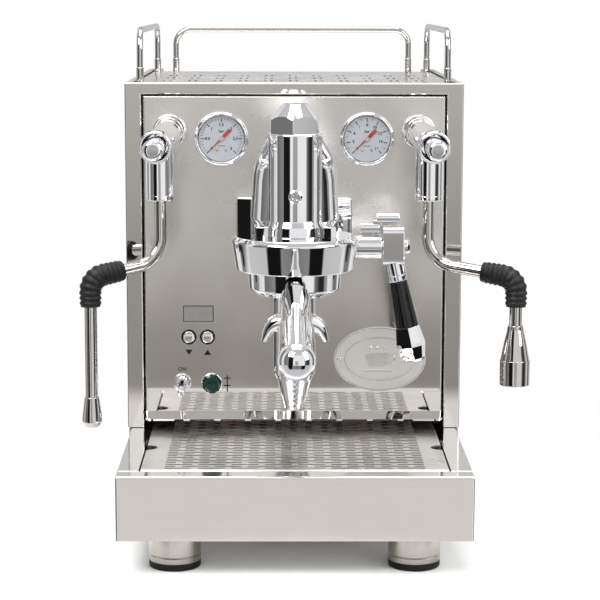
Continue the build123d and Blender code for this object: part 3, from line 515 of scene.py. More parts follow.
SIDE_RAIL_X, SIDE_RAIL_YS, SIDE_RAIL_TOP = 119.0, (205.0, 427.0), 376.5
REAR_RAIL_X, REAR_RAIL_Y, REAR_RAIL_TOP = 103.4, 440.0, 373.5
RAIL_R, RAIL_BEND, RAIL_END_Z = 2.49, 21.0, 347.0
rails, rail_feet = Piece("cup_rail_rods"), Piece("rail_foot_sleeves")
spots = []
for side in (-1, 1):
    x, (y0, y1) = side * SIDE_RAIL_X, SIDE_RAIL_YS
    route = [(x, y0, RAIL_END_Z), (x, y0, SIDE_RAIL_TOP), (x, y1, SIDE_RAIL_TOP), (x, y1, RAIL_END_Z)]
    rails.sweep(route, [RAIL_BEND] * 2, RAIL_R)
    spots += [(x, y0), (x, y1), (side * REAR_RAIL_X, REAR_RAIL_Y)]
left, right, y = -REAR_RAIL_X, REAR_RAIL_X, REAR_RAIL_Y
route = [(left, y, RAIL_END_Z), (left, y, REAR_RAIL_TOP), (right, y, REAR_RAIL_TOP), (right, y, RAIL_END_Z)]
rails.sweep(route, [RAIL_BEND] * 2, RAIL_R)
for x, y in spots:
    sleeve = [(336, 0), (336, 2.9), (338, 2.9), (338.4, 2.6), (338.8, 2.9), (348, 2.9), (348, 0)]
    rail_feet.turn((x, y, 0), UP, sleeve, [0.2, 0.1, 0.1, 0.1, 0.6], segments=48)
rails.done(tube_steel, "cup_rails", slot="chrome")
rail_feet.done(tube_steel, "rail_feet", slot="chrome")

# ---------------------------------------------------------------- pressure gauges

bezels, dials, glasses = Piece("gauge_bezels"), Piece("gauge_dial_faces"), Piece("gauge_windows")
print_on_dials, dial_screws = Piece("gauge_dial_print"), Piece("gauge_dial_screws")
DIAL_FACE_Y = PANEL_Y - 0.9
PRINT_Y, NEEDLE_Y = DIAL_FACE_Y - PRINT_HEIGHT, PANEL_Y - 1.5
SCALE_START, SCALE_SPAN = 225.0, 270.0  # degrees, from the first mark down on the left
MARK_OUTER, LONG_MARK, SHORT_MARK, FIGURE_R = 15.6, (12.7, 0.34), (14.2, 0.16), 10.4
# For each side: the needle's node, the figures, and the parts from one figure to the next
SCALES = {
    -1: ("steam_gauge_needle", [f"{n / 2:g}" for n in range(7)], 5),
    1: ("pump_gauge_needle", [f"{n}" for n in range(0, 18, 2)], 2),
}


def print_scale(x, figures, parts):
    """Marks all round a dial, with a figure at each long one, then the unit and a rule."""
    steps = (len(figures) - 1) * parts
    for i in range(steps + 1):
        turn = radians(SCALE_START - SCALE_SPAN * i / steps)
        is_long = i % parts == 0
        inner, half = LONG_MARK if is_long else SHORT_MARK
        way = Vector((cos(turn), 0, sin(turn)))
        start = (x + way.x * inner, DIAL_FACE_Y, GAUGE_Z + way.z * inner)
        length = MARK_OUTER - inner
        mark = [(0, -half), (length, -half), (length, half), (0, half)]
        print_on_dials.prism(start, FORWARD, mark, PRINT_HEIGHT, x_way=way)
        if is_long:
            spot = (x + way.x * FIGURE_R, PRINT_Y, GAUGE_Z + way.z * FIGURE_R)
            print_on_dials.text(figures[i // parts], 3.1, spot, weight=0.10)
    print_on_dials.text("bar", 3.0, (x, PRINT_Y, GAUGE_Z + 5.6), weight=0.08)
    rule = [(-2.8, 0), (2.8, 0), (2.8, 0.45), (-2.8, 0.45)]
    print_on_dials.prism((x, DIAL_FACE_Y, GAUGE_Z - 5.6), FORWARD, rule, PRINT_HEIGHT, x_way=RIGHT)


def make_needle(x, node):
    """A pointer at rest on the scale's first mark, with its broad tail, and the hub under it."""
    needle, hub = Piece(node + "_pointer"), Piece(node + "_hub")
    way = Vector((cos(radians(45)), 0, sin(radians(45))))
    pointer = [(-13.6, -0.12), (-13.6, 0.12), (0, 0.7), (2.4, 0.8), (3.0, 1.3), (9.5, 1.3)]
    pointer += [(9.5, -1.3), (3.0, -1.3), (2.4, -0.8), (0, -0.7)]
    needle.prism((x, NEEDLE_Y, GAUGE_Z), FORWARD, pointer[::-1], 0.45, x_way=way)
    boss = [(-2.6, 0), (-2.6, 0.45), (0, 0.45), (0, 2.0), (1.1, 1.8), (1.1, 0)]
    hub.turn((x, NEEDLE_Y, GAUGE_Z), FORWARD, boss, [0, 0, 0.2, 0.5], segments=48)
    needle.done(red_paint, node, slot="red_needle")
    hub.done(pearl_plate, rides=BODIES[node])


for side, (node, figures, parts) in SCALES.items():
    x = side * GAUGE_X
    ring = [(-26, 0), (-26, 18.3), (0, 18.3), (0, GAUGE_R), (3.4, GAUGE_R), (4.6, GAUGE_R - 1.4)]
    ring += [(4.6, DIAL_R + 0.7), (3.4, DIAL_R + 0.05), (0.4, DIAL_R + 0.05), (0.4, 0)]
    bezels.turn((x, PANEL_Y, GAUGE_Z), FORWARD, ring, [1, 0, 0.3, 1.2, 0.6, 0.6, 0.4, 0], segments=128)
    face = [(0.4, 0), (0.4, DIAL_R), (0.9, DIAL_R), (0.9, 0)]
    dials.turn((x, PANEL_Y, GAUGE_Z), FORWARD, face, [0, 0.15])
    window = [(3.2, 0), (3.2, DIAL_R), (4.0, DIAL_R), (4.05, 8), (4.1, 0)]
    glasses.turn((x, PANEL_Y, GAUGE_Z), FORWARD, window, [0, 0.2, 0])
    print_scale(x, figures, parts)
    for dx in (-3.5, 3.5):
        screw = [(-0.1, 0), (-0.1, 1.15), (0.5, 0.9), (0.6, 0)]
        dial_screws.turn((x + dx, DIAL_FACE_Y, GAUGE_Z - 8.6), FORWARD, screw, [0, 0.3], segments=24)
    make_needle(x, node)
bezels.done(chrome, "gauge_cases", slot="chrome")
dials.done(white_dial, "gauge_dials", slot="white_dial")
print_on_dials.done(black_ink, rides=BODIES["gauge_dials"])
dial_screws.done(brass, rides=BODIES["gauge_dials"])
glasses.done(clear_glass, "gauge_glasses", slot="clear_glass")

# ---------------------------------------------------------------- display, buttons, switch, lamp, badge

x, z = DISPLAY
surround = Piece("display_border")
BORDER_X, BORDER_Z, BORDER = 11.4, 6.0, 0.4
border_y = (PANEL_Y - 0.45, PANEL_Y - 0.1)
for dx in (-BORDER_X, BORDER_X - BORDER):
    surround.block((x + dx, x + dx + BORDER), border_y, (z - BORDER_Z, z + BORDER_Z), 0.1)
for dz in (-BORDER_Z, BORDER_Z - BORDER):
    surround.block((x - BORDER_X, x + BORDER_X), border_y, (z + dz, z + dz + BORDER), 0.1)
surround.done(black_plastic, rides=BODIES["temperature_display"], slot="black_plastic")
screen = Piece("display_window")
window = rounded_rectangle(21.9, 11.2, 0.4)
screen.prism((x, PANEL_Y - 0.1, z), FORWARD, window, 0.28, x_way=RIGHT, bevel=0.1)
screen.done(display_grey, rides=BODIES["temperature_display"], slot="display_grey")

collars = Piece("button_collars")
for x, node in zip(BUTTON_XS, ("down_button", "up_button")):
    outline = [(-8, 4.75), (-8, 5.4), (0, 5.4), (0, 5.9), (1.3, 5.9), (1.3, 4.75), (-8, 4.75)]
    collars.turn((x, PANEL_Y, BUTTON_Z), FORWARD, outline, [0, 0, 0, 0.5, 0.2])
    cap = Piece(node + "_cap")
    dished = [(-12, 0), (-12, 2), (-3, 2), (-3, 4.45), (2.3, 4.45), (2.1, 3.0), (1.9, 0)]
    cap.turn((x, PANEL_Y, BUTTON_Z), FORWARD, dished, [0, 0, 0.3, 0.7, 0.5])
    cap.done(chrome, node, slot="chrome")
collars.done(black_plastic, "button_rings", slot="black_plastic")

x, z = SWITCH
bushing = Piece("switch_bushing_threaded")
body = [(-18, 0), (-18, 5.2), (0, 5.2), (0, 6.9), (2.4, 6.9), (2.4, 5.0)]
THREADS, PITCH = 5, 0.8
for i in range(THREADS):
    body += [(2.8 + PITCH * i, 4.6), (3.2 + PITCH * i, 5.0)]
body += [(6.9, 4.7), (6.9, 3.4), (0.0, 3.4), (0.0, 0)]
bushing.turn((x, PANEL_Y, z), FORWARD, body, [0.5, 0, 0.2, 0.5] + [0] * (2 * THREADS + 1) + [0.3, 0.2])
bushing.done(chrome, "switch_bushing", slot="chrome")
tilt = radians(SWITCH_TILT)
bat = Piece("switch_bat")
outline = [(-2.2, 0), (-2.2, 1.6), (4, 1.6), (17, 2.7), (19.5, 2.7), (19.5, 0)]
bat.turn((x, PANEL_Y - SWITCH_PIVOT, z), (0, -cos(tilt), -sin(tilt)), outline, [1.0, 2.0, 4.0, 2.6])
bat.done(chrome, "switch_lever", slot="chrome")

x, z = LAMP
lamp = Piece("lamp_collar")
outline = [(-14, 0), (-14, 6.3), (0, 6.3), (0, 8.0), (2.2, 7.8), (2.6, 6.9), (2.6, 6.1)]
outline += [(0.6, 6.1), (0.6, 0)]
lamp.turn((x, PANEL_Y, z), FORWARD, outline, [0.5, 0, 0.2, 0.5, 0.3, 0.2, 0])
lamp.done(chrome, "lamp_bezel", slot="chrome")
lens = Piece("lamp_lens_moulded")
outline = [(0.6, 0), (0.6, 6.05), (2.7, 6.05), (2.7, 7.45), (3.4, 7.45), (4.6, 5.2), (5.0, 0)]
lens.turn((x, PANEL_Y, z), FORWARD, outline, [0, 0, 0, 0.4, 3.0])
lens.done(green_lens, "lamp_lens", slot="green_lens")

marks = Piece("panel_marks")
marks.text("ON", 4.0, (-85.4, PANEL_Y - 0.02, 119.8), weight=0.06)
ARROW_X, ARROW_Z, ARROWS_Z, MARK_HEIGHT = 2.8, 2.1, 133.0, 0.04
for x, way in zip(BUTTON_XS, (-1, 1)):
    arrow = [(-ARROW_X, -way * ARROW_Z), (ARROW_X, -way * ARROW_Z), (0, way * ARROW_Z)][::way]
    marks.prism((x, PANEL_Y, ARROWS_Z), FORWARD, arrow, MARK_HEIGHT, x_way=RIGHT)
SIGN = (-51.0, 108.7)
for width, height, dz in ((0.9, 13.0, 0.0), (5.2, 0.9, 4.2), (5.2, 0.9, -1.5)):
    bar = rounded_rectangle(width, height, 0.3)
    marks.prism((SIGN[0], PANEL_Y, SIGN[1] + dz), FORWARD, bar, MARK_HEIGHT, x_way=RIGHT)
marks.done(black_ink, rides=BODIES["front_panel"])

bx, bz = BADGE
half_x, half_z = BADGE_SIZE[0] / 2, BADGE_SIZE[1] / 2
plate = Piece("badge_plate")
plate.prism((bx, PANEL_Y, bz), FORWARD, ellipse(half_x, half_z), 1.25, x_way=RIGHT, bevel=0.5)
plate.done(pearl_plate, "badge", slot="satin_steel")
relief = Piece("badge_relief")
LINE_WIDTH, CUP_X, CUP_Z = 0.8, bx - 2, bz - 1


def on_badge(u, v, lift):
    """A place u to the right of the cup's middle, v above it, and lift in front of the panel."""
    return (CUP_X + u, PANEL_Y - lift, CUP_Z + v)


for inset in (0.6, 8.0):
    outer = ellipse(half_x - inset, half_z - inset)
    inner = ellipse(half_x - inset - LINE_WIDTH, half_z - inset - LINE_WIDTH)
    loops = []
    for loop, lift in ((outer, 1.2), (outer, 1.45), (inner, 1.45), (inner, 1.2)):
        loops.append([relief.bm.verts.new(at(bx + u, PANEL_Y - lift, bz + v)) for u, v in loop])
    relief.skin(loops)
cup = rounded([(-9, 6), (-8.4, 0), (-5.5, -5), (5.5, -5), (8.4, 0), (9, 6)], [4, 3, 3, 4])
relief.prism(on_badge(0, 0, 1.2), FORWARD, cup, 0.4, x_way=RIGHT, bevel=0.2)
saucer = rounded_rectangle(24, 1.6, 0.7)
relief.prism(on_badge(0, -8, 1.2), FORWARD, saucer, 0.4, x_way=RIGHT, bevel=0.2)
ear = [on_badge(u, v, 1.3) for u, v in ((8, 4), (13.5, 4), (13.5, -1.5), (7.6, -1.5))]
relief.sweep(ear, [2.5, 2.5], 0.55, segments=12)
for u in (-5, 0, 5):
    steam = [on_badge(u + du, v, 1.25) for du, v in ((0, 8), (1.4, 9.6), (-1.2, 11.6), (0, 13.2))]
    relief.sweep(steam, [1, 1], 0.4, segments=10)
for side in (-1, 1):
    place = (bx + side * (half_x - 4.4), PANEL_Y - 1.2, bz)
    relief.turn(place, FORWARD, [(0, 0), (0, 2.0), (0.8, 1.6), (1.1, 0)], [0.2, 0.6], segments=40)
relief.done(satin_steel, rides=BODIES["badge"])

# ---------------------------------------------------------------- taps, joysticks and wands

WAND_TOP, BEND_Z, FALL, WAND_R = 262.0, 208.2, 7.3, 4.6
GRIP_BEFORE, GRIP_AFTER, OUTER_BEND, CUFF, RIB_PITCH = 26.0, 21.0, 19.0, 0.012, 3.7


def make_tap(side, word):
    """A tap that leans out of the panel, with the wand's socket, two grub screws and a joystick."""
    foot = Vector((side * TAP_FOOT[0], PANEL_Y, TAP_FOOT[1]))
    way = (Vector((side * TAP_MOUTH[0], *TAP_MOUTH[1:])) - foot).normalized()
    tap = Piece(word + "_tap_turned")
    shank = [(-14, 0), (-14, 7.6), (1.4, 7.6), (1.4, 12.5), (4.4, 12.5), (4.4, 10.0), (66, 10.0)]
    shank += [(80, 11.75), (88, 11.75), (88, 9.6), (68, 9.6), (68, 0)]
    tap.turn(foot, way, shank, [0.5, 0, 0.4, 1.0, 0.4, 8, 3, 1.0, 0.6, 2], segments=128)
    socket = [(268, 0), (268, 5.9), (254, 5.9), (254, 10.2), (257.5, 10.2), (257.8, 9.9)]
    socket += [(258.1, 10.2), (296, 10.2), (296, 0)]
    tap.turn((side * WAND_X, WAND_Y, 0), UP, socket, [0, 0, 1.0, 0.1, 0.1, 0.1, 0])
    tap.done(chrome, word + "_tap_body", slot="chrome")
    screws = Piece(word + "_tap_grub_screws")
    across = Vector((-side, 0, 0.9)).normalized()
    for distance in (14, 24):
        place = foot + way * distance + across * 9.5
        screws.prism(place, across, rounded_rectangle(3.6, 3.6, 0.3), 0.75, x_way=way, bevel=0.1)
    screws.done(black_ink, rides=BODIES[word + "_tap_body"])
    stick = Piece(word + "_joystick")
    outline = [(-5, 0), (-5, 5), (5, 5), (5, 3.2), (17, 3.2), (17, 7.6), (51, 7.6), (51, 0)]
    pivot = (side * JOYSTICK[0], *JOYSTICK[1:])
    stick.turn(pivot, FORWARD, outline, [3.5, 1.5, 0, 0, 1.0, 7.5], segments=128)
    stick.done(chrome, word + "_tap_lever", slot="chrome")


def bellows(share, length):
    """The radius of a grip: ribs that are fullest half way, between two plain cuffs."""
    if share < CUFF or share > 1 - CUFF:
        return 7.2
    wave = 0.5 + 0.5 * cos(2 * pi * length / RIB_PITCH)
    return 6.9 + 0.5 * sin(pi * share) + 0.9 * wave**0.7


def make_wand(side, word, tip, tube_end):
    """A tube that drops, runs out to the side and drops to its nozzle, with a grip on the bend."""
    x = side * WAND_X
    reach = Vector((tip[0] - x, tip[1] - WAND_Y, 0))
    out, far, low_z = reach.normalized(), reach.length, BEND_Z - FALL

    def along(distance, height):
        return (x + out.x * distance, WAND_Y + out.y * distance, height)

    wand = Piece(word + "_wand_tube")
    line = [along(0, WAND_TOP), along(0, BEND_Z), along(far, low_z), along(far, tube_end)]
    wand.sweep(line, [22, OUTER_BEND], WAND_R, segments=40, steps=24)
    ball = [(WAND_TOP - 4, 0), (WAND_TOP - 4, 5.5), (WAND_TOP + 4, 5.5), (WAND_TOP + 4, 0)]
    wand.turn((x, WAND_Y, 0), UP, ball, [1, 2.5])
    wand.done(tube_steel, word + "_wand", slot="chrome")
    grip = Piece(word + "_wand_bellows")
    slope = FALL / far
    start = along(far - GRIP_BEFORE * cos(slope), low_z + GRIP_BEFORE * sin(slope))
    line = [start, along(far, low_z), along(far, low_z - GRIP_AFTER)]
    grip.sweep(line, [OUTER_BEND], bellows, step=0.44, segments=48, steps=24)
    grip.done(black_rubber, word + "_wand_grip", slot="black_rubber")


for side, word, tip, tube_end in ((-1, "steam", STEAM_TIP, 113.0), (1, "water", WATER_TIP, 160.0)):
    make_tap(side, word)
    make_wand(side, word, tip, tube_end)

nozzle = Piece("steam_nozzle_turned")
outline = [(90.6, 0), (90.6, 5.2), (95, 7.35), (101, 6.9), (113, 5.3), (113, 0)]
nozzle.turn((*STEAM_TIP, 0), UP, outline, [2.2, 3, 4, 0.5])
nozzle.done(tube_steel, "steam_nozzle", slot="chrome")
bell = Piece("water_nozzle_turned")
outline = [(138, 0), (138, 8.6), (122, 9.9), (122, 10.9), (140.4, 11.0), (140.4, 10.6), (152, 8.4)]
outline += [(163, 5.9), (166, 5.5), (166, 0)]
bell.turn((*WATER_TIP, 0), UP, outline, [1.5, 0.4, 0.6, 0.2, 0.1, 12, 6, 0.5], segments=128)
bell.done(tube_steel, "water_nozzle", slot="chrome")

# ---------------------------------------------------------------- brew group

group = Piece("group_casting")
tower = [(BELL_TOP, 0), (BELL_TOP, 22), (243, 21), (247, TOWER_R), (TOWER_TOP, TOWER_R), (TOWER_TOP, 0)]
group.turn((0, GROUP_Y, 0), UP, tower, [0.5, 2, 2, 1.5])
# The shoulders behind the tower are squarish rings of growing and shrinking width
profile = rounded([(236, 0), (236, 22), (243, 32.2), (284, 29.8), (307, 17), (307, 0)], [4, 8, 45, 5], 10)
SHOULDER_Y, SHOULDER_DEPTH, FULL_DEPTH_WIDTH, SQUARENESS = GROUP_Y + 32, 28, 12, 0.74


def squarish(value):
    return abs(value) ** SQUARENESS * (1 if value > 0 else -1)


rings = []
for height, width in profile:
    depth = SHOULDER_DEPTH * min(1, width / FULL_DEPTH_WIDTH)
    turns = [2 * pi * i / SEGMENTS for i in range(SEGMENTS)]
    spots = [at(width * squarish(cos(t)), SHOULDER_Y + depth * squarish(sin(t)), height) for t in turns]
    rings.append([group.bm.verts.new(spot) for spot in spots])
group.skin(rings)
group.block((-21, 21), (COLUMN_Y - 2, PANEL_Y - 10), (216, 252), bevel=2)
for side in (-1, 1):
    web = [(20, 118), (22.5, 130), (30, 140.5), (43.2, 145.5), (43.2, 148), (20, 148)]
    curve = rounded(web + web[:1], [10, 12, 1], 8)[:-1]
    mirrored = [(side * u, v - PANEL_Y) for u, v in curve]
    group.prism((0, PANEL_Y, 214.5), UP, mirrored[::side], 38, x_way=RIGHT, bevel=0.8)
flange = rounded_rectangle(87, 39, 2.5, 8)
group.prism((0, PANEL_Y, 233.5), FORWARD, flange, 11, x_way=RIGHT, bevel=1.2, bevel_steps=4)
group.turn((0, COLUMN_Y, 0), UP, [(200, 0), (200, 15.2), (240, 15.2), (240, 0)], [0.5, 2])
group.turn((0, LEVER_Y, LEVER_Z), RIGHT, [(0, 0), (0, 12), (30, 12), (30, 0)], [0, 1])
group.done(chrome, "group_body", slot="chrome")

bell = Piece("group_bell_turned")
skirt = [
    (BELL_BOTTOM, BELL_BORE),
    (BELL_BOTTOM, BELL_R - 3.3),
    (BELL_TOP - 3, BELL_R),
    (BELL_TOP, BELL_R - 2.5),
    (BELL_TOP, 0),
    (230.2, 0),
    (230.2, BELL_BORE),
    (BELL_BOTTOM, BELL_BORE),
]
bell.turn((0, GROUP_Y, 0), UP, skirt, [1.2, 2.5, 1.5, 0, 0, 0], segments=160)
bell.done(chrome, "group_bell", slot="chrome")

# The nut's flats are cut off by a cone, so each flat ends in an arc
nut = Piece("group_cap_nut_forged")
NUT_TURN, NUT_HALF, NUT_CHAMFER, NUT_HEIGHT, NUT_TOP_R = radians(24), 16.0, 9.4, 20.4, 9.2
NUT_SEGMENTS = 120
corner_r = NUT_HALF / cos(pi / 6)
cone_top = NUT_HEIGHT - 0.5
rings = [[], [], [], [], []]
for i in range(NUT_SEGMENTS):
    turn = 2 * pi * i / NUT_SEGMENTS
    flat_r = NUT_HALF / cos((turn - NUT_TURN) % (pi / 3) - pi / 6)
    share = (corner_r - flat_r) / (corner_r - NUT_TOP_R)
    meet = NUT_CHAMFER + share * (cone_top - NUT_CHAMFER)
    spots = [(flat_r, 0), (flat_r, meet), (NUT_TOP_R, cone_top), (NUT_TOP_R - 0.6, NUT_HEIGHT)]
    spots.append((0.01, NUT_HEIGHT))
    for ring, (radius, height) in zip(rings, spots):
        place = at(radius * cos(turn), GROUP_Y + radius * sin(turn), TOWER_TOP + height)
        ring.append(nut.bm.verts.new(place))
nut.skin(rings)
nut.done(chrome, "group_cap_nut", slot="chrome", sharp=20)

bolts = Piece("group_bolt_heads")
for side in (-1, 1):
    bolts.prism((side * 23.6, GROUP_Y - 16, BELL_TOP), UP, hexagon(8.5), 8, bevel=0.5)
screw = [(-0.6, 0), (-0.6, 4.9), (0.9, 4.9), (1.7, 3.6), (1.7, 2.4), (1.0, 1.9), (1.0, 0)]
bolts.turn((0, GROUP_Y - TOWER_R, 265), FORWARD, screw, [0, 0.4, 0.4, 0.2, 0.2, 0], segments=64)
bolts.done(chrome, "group_bolts", slot="chrome")
drain = Piece("drain_nozzle_turned")
outline = [(101, 0), (101, 6.5), (124, 13.0), (128, 15.2), (200, 15.2), (200, 0)]
drain.turn((0, COLUMN_Y, 0), UP, outline, [1.5, 2, 1, 0.5])
drain.done(chrome, "drain_nozzle", slot="chrome")

# ---------------------------------------------------------------- brew lever

housing = Piece("lever_housing_turned")
outline = [(30, 4.4), (30, 9.15), (46, 9.15), (46.4, 8.7), (46.8, 9.15), (64, 9.15), (64, 4.4)]
outline.append(outline[0])
housing.turn((0, LEVER_Y, LEVER_Z), RIGHT, outline, [0, 0.1, 0.1, 0.1, 1, 0])
plunger = [(48.4, 0), (48.4, 4.15), (62.1, 4.15), (62.1, 0)]
housing.turn((0, LEVER_Y, LEVER_Z + 14), RIGHT, plunger, [0.5, 0.6], segments=64)
stop = [(60, 0), (60, 3.8), (76.8, 3.8), (76.8, 0)]
housing.turn((0, LEVER_Y, LEVER_Z + 21.2), RIGHT, stop, [0.3, 0.6], segments=64)
for x_span, low, high in (((49, 58), 7, 12), ((57, 63.5), 15, 20)):
    housing.block(x_span, (LEVER_Y - 3, LEVER_Y + 3), (LEVER_Z + low, LEVER_Z + high))
housing.done(chrome, "lever_housing", slot="chrome")
ARM_SLOPE = 0.21
arm = Vector((ARM_SLOPE, 0, -1)).normalized()
lever = Piece("brew_lever_arm")
hub_start = HUB_X - 7.7
shaft = [(6, 0), (6, 4), (hub_start - 0.5, 4), (hub_start - 0.5, 6), (82.5, 6), (84.6, 4.6), (84.6, 0)]
lever.turn((0, LEVER_Y, LEVER_Z), RIGHT, shaft, [0.5, 0, 0.3, 0.5, 0.5])
hub = [(0, -12.5), (8, -12.5), (8, 15.5), (-8, 15.5), (-8, -12.5), (0, -12.5)]
outline = rounded(hub, [5, 5, 5, 5], 8)[:-1]
lever.prism((hub_start, LEVER_Y, LEVER_Z), RIGHT, outline, 15.4, x_way=BACK, bevel=0.8)
collar = [(8, 0), (8, 7.3), (20.5, 7.3), (21, 6.9), (21.5, 7.3), (25.5, 7.3), (25.5, 4.8), (30, 4.8)]
collar += [(30, 3.4), (76, 3.4), (76, 0)]
lever.turn((ARM_X, LEVER_Y, LEVER_Z), arm, collar, [1, 0.2, 0.2, 0.2, 1, 0.3, 0.5, 0, 0.5])
lever.done(chrome, "brew_lever", slot="chrome")
grip = Piece("brew_lever_handle")
outline = [(30.2, 5.1), (25.8, 5.1), (25.8, 6.5), (60.4, 8.5), (60.4, 4.0), (30.2, 4.0)]
grip.turn((ARM_X, LEVER_Y, LEVER_Z), arm, outline + outline[:1], [0, 0.8, 0.8, 0, 0])
grip.done(black_plastic, "brew_lever_grip", slot="black_plastic")
cap = Piece("brew_lever_end_cap")
outline = [(60.6, 0), (60.6, 8.6), (62, 8.9), (72.5, 10.6), (75, 10.6), (84.5, 8.6), (86.7, 6.6)]
outline.append((86.7, 0))
cap.turn((ARM_X, LEVER_Y, LEVER_Z), arm, outline, [0.2, 0.3, 0.8, 0.8, 0.3, 0.3], segments=8)
cap.done(chrome, rides=BODIES["brew_lever_grip"], slot="chrome", sharp=12)

# ---------------------------------------------------------------- portafilter

slope = radians(HANDLE_SLOPE)
neck_way = (0, -cos(slope), -sin(slope))
neck_length = (GROUP_Y - HANDLE_END[1]) / cos(slope)
neck_root = (0, GROUP_Y, HANDLE_END[2] + neck_length * sin(slope))
filter_holder = Piece("portafilter_forging")
bowl = [(194.5, 0), (194.5, 27), (198.3, 32.4), (222, 33.6), (222, 30.2), (199, 30.2), (199, 0)]
filter_holder.turn((0, GROUP_Y, 0), UP, bowl, [3, 3, 0.4, 0.4, 1], segments=128)
neck = [(30, 0), (30, 7.6), (50, 7.6), (58, 10.4), (118, 10.4), (118, 0)]
filter_holder.turn(neck_root, neck_way, neck, [0, 4, 4, 0.6])
filter_holder.done(chrome, "portafilter_body", slot="chrome")
ears = Piece("portafilter_ears")
EAR_R, EAR_ROOT_R = 37.4, 32.6
turns = [radians(a) for a in range(-22, 23, 4)]
for side in (-1, 1):
    outer = [(side * EAR_R * cos(t), EAR_R * sin(t)) for t in turns]
    inner = [(side * EAR_ROOT_R * cos(t), EAR_ROOT_R * sin(t)) for t in reversed(turns)]
    ears.prism((0, GROUP_Y, 216.0), UP, outer + inner, 4, x_way=RIGHT, bevel=0.5)
ears.done(chrome, rides=BODIES["portafilter_body"])

spout = Piece("portafilter_spout_formed")
spout.turn((0, GROUP_Y, 0), UP, [(177, 0), (177, 7.6), (194.5, 7.6), (194.5, 0)], [2, 0])


def horn(share, _length):
    """The spout's arms grow thinner towards their tips."""
    return 6.9 - 4.7 * share**2


for side in (-1, 1):
    route = [(0, GROUP_Y, 175.2), (side * 17, GROUP_Y, 173.5), (side * 22.6, GROUP_Y, 160.4)]
    spout.sweep(route, [14], horn, step=0.8, segments=40)
spout.done(chrome, "portafilter_spout", slot="chrome")

handle = Piece("portafilter_grip")
outline = [(118, 0), (118, 10.9), (121.5, HANDLE_R)]
turns = [pi * i / 48 for i in range(24)]
outline += [(neck_length + HANDLE_R * sin(t), HANDLE_R * cos(t)) for t in turns]
outline.append((neck_length + HANDLE_R, 0))
handle.turn(neck_root, neck_way, outline, [0.5, 1.5], segments=128)
handle.done(chrome, "portafilter_handle", slot="chrome")

# ---------------------------------------------------------------- studio

scene = bpy.context.scene
scene.view_settings.view_transform = "Standard"


def studio_world():
    """White boards between dark gaps all round, a pale ceiling, and plain white for the camera."""
    world = bpy.data.worlds.new("studio")
    scene.world = world
    world.use_nodes = True
    nodes = Nodes(world.node_tree)
    sky = nodes.add("ShaderNodeTexCoord").outputs["Generated"]
    x, y, z = nodes.add("ShaderNodeSeparateXYZ", {"Vector": sky}).outputs
    facing = nodes.math("MULTIPLY", y, -1.0)
    turn = nodes.math("ARCTAN2", x, facing)
    share = nodes.math("MULTIPLY_ADD", turn, 0.5 / pi, 0.5)
    # azimuth in degrees from the front, to the right, and brightness from there on
    boards = [(-180, 0.60), (-150, 0.80), (-128, 0.95), (-124, 0.22), (-104, 0.30), (-100, 0.80)]
    boards += [(-84, 0.95), (-81, 0.16), (-62, 0.24), (-52, 0.30), (-49, 0.01), (-23, 0.01), (-20, 1.0)]
    boards += [(46, 1.0), (51, 0.20), (64, 0.02), (76, 0.03), (79, 0.34), (86, 0.34), (89, 0.95)]
    boards += [(106, 0.80), (110, 0.12), (126, 0.25), (130, 0.95), (150, 0.80), (180, 0.60)]
    walls = nodes.ramp(share, [(0.5 + degrees / 360, value) for degrees, value in boards])
    level = nodes.math("MULTIPLY_ADD", z, 0.5, 0.5)
    at_wall_height = nodes.ramp(level, [(0, 0), (0.14, 0), (0.20, 1), (0.80, 1), (0.86, 0), (1, 0)])
    # A grey backdrop straight ahead, darker towards the table, and the pale table below it
    table, wall_foot, wall_top = (0.78, 0.75, 0.73), (0.30, 0.285, 0.275), (0.50, 0.48, 0.46)
    greys = [(0, table), (0.400, table), (0.402, wall_foot), (0.44, (0.36, 0.345, 0.33))]
    backdrop = nodes.ramp(level, greys + [(0.475, wall_top), (1, wall_top)])
    off_centre = nodes.math("ABSOLUTE", turn)
    inside = nodes.climb(off_centre, radians(10), radians(9))
    beneath = nodes.climb(z, 0.16, 0.12)
    around = nodes.blend(nodes.math("MULTIPLY", inside, beneath), walls, backdrop)
    # What lies low in front of the machine: grey in the middle and dark on both sides of it
    floors = [(0, 0.20), (26, 0.28), (29, 0.008), (54, 0.008), (57, 0.62), (96, 0.66), (102, 0.95)]
    floors.append((180, 0.95))
    half_turn = nodes.math("MULTIPLY", off_centre, 1 / pi)
    low = nodes.ramp(half_turn, [(degrees / 180, value) for degrees, value in floors])
    around = nodes.blend(nodes.climb(z, -0.30, -0.33), around, low)
    all_round = nodes.blend(at_wall_height, (0.66, 0.66, 0.69, 1), around)
    seen = nodes.add("ShaderNodeLightPath").outputs["Is Camera Ray"]
    colour = nodes.blend(seen, all_round, (1, 1, 1, 1))
    light = nodes.add("ShaderNodeBackground", {"Color": colour, "Strength": 1.0})
    nodes.add("ShaderNodeOutputWorld", {"Surface": light.outputs[0]})


FLOOR_CENTRE, FLOOR_R, FADE = at(0, 225, 0), 1500, (0.22, 0.36)


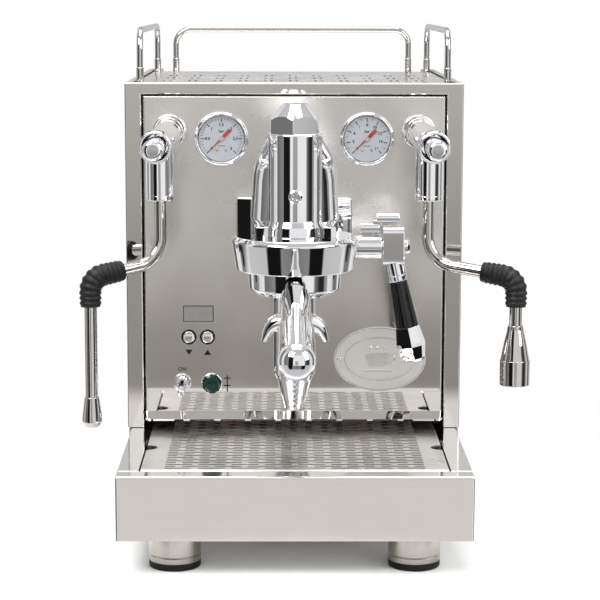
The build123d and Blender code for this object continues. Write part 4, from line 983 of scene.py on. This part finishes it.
def pale_floor():
    """A pale sheet that fades into the white round it."""
    disc = Piece("floor")
    disc.turn((0, 150, 0), UP, [(-2, 0), (-2, FLOOR_R), (-0.05, FLOOR_R), (-0.05, 0)], segments=128)
    mesh = bpy.data.meshes.new("floor")
    disc.bm.to_mesh(mesh)
    disc.bm.free()
    floor = bpy.data.objects.new("floor", mesh)
    scene.collection.objects.link(floor)
    material = bpy.data.materials.new("pale_floor")
    material.use_nodes = True
    nodes = Nodes(material.node_tree)
    grain = nodes.noise(220, detail=4.0)
    tone = nodes.blend(grain, (0.90, 0.90, 0.895, 1), (0.94, 0.94, 0.935, 1))
    paper = nodes.add("ShaderNodeBsdfDiffuse", {"Color": tone, "Roughness": 0.9})
    clear = nodes.add("ShaderNodeBsdfTransparent")
    moved = nodes.add("ShaderNodeMapping", {"Vector": nodes.place(), "Location": -FLOOR_CENTRE}).outputs[0]
    away = nodes.add("ShaderNodeVectorMath", operation="LENGTH")
    nodes.set(away.inputs[0], moved)
    edge = nodes.climb(away.outputs["Value"], *FADE, smooth=True)
    mix = nodes.add("ShaderNodeMixShader", {0: edge, 1: paper.outputs[0], 2: clear.outputs[0]})
    nodes.add("ShaderNodeOutputMaterial", {"Surface": mix.outputs[0]})
    mesh.materials.append(material)


def soft_light(name, place, target, size, power):
    data = bpy.data.lights.new(name, "AREA")
    data.shape, data.size, data.size_y, data.energy = "RECTANGLE", size[0], size[1], power
    lamp_object = bpy.data.objects.new(name, data)
    scene.collection.objects.link(lamp_object)
    lamp_object.location = place
    lamp_object.rotation_euler = (Vector(target) - Vector(place)).to_track_quat("-Z", "Y").to_euler()


CAMERA_PLACE, CAMERA_LENS = at(-10.0, -1325.1, 402.6), 117.95
CAMERA_ANGLES = (0.566, 8.784, 0.128)  # degrees to the right, down, and of roll


def make_camera():
    """The camera in front of the machine, a little above it, looking slightly down."""
    yaw, pitch, roll = (radians(angle) for angle in CAMERA_ANGLES)
    forward = Vector((sin(yaw) * cos(pitch), cos(yaw) * cos(pitch), -sin(pitch)))
    level = Vector((cos(yaw), -sin(yaw), 0))
    above = level.cross(forward)
    right = level * cos(roll) + above * sin(roll)
    upward = above * cos(roll) - level * sin(roll)
    data = bpy.data.cameras.new("camera")
    data.lens, data.sensor_width = CAMERA_LENS, 36.0
    camera = bpy.data.objects.new("camera", data)
    scene.collection.objects.link(camera)
    aim = Matrix((right, upward, -forward)).transposed().to_4x4()
    camera.matrix_world = Matrix.Translation(CAMERA_PLACE) @ aim
    scene.camera = camera


studio_world()
pale_floor()
make_camera()
soft_light("key", (-0.9, -1.2, 1.5), (0, 0, 0.15), (0.9, 0.9), 28)
soft_light("fill", (1.3, -0.8, 1.0), (0, 0, 0.2), (0.8, 1.2), 16)
soft_light("top", (0, 0.2, 1.8), (0, 0, 0.2), (1.2, 1.2), 24)
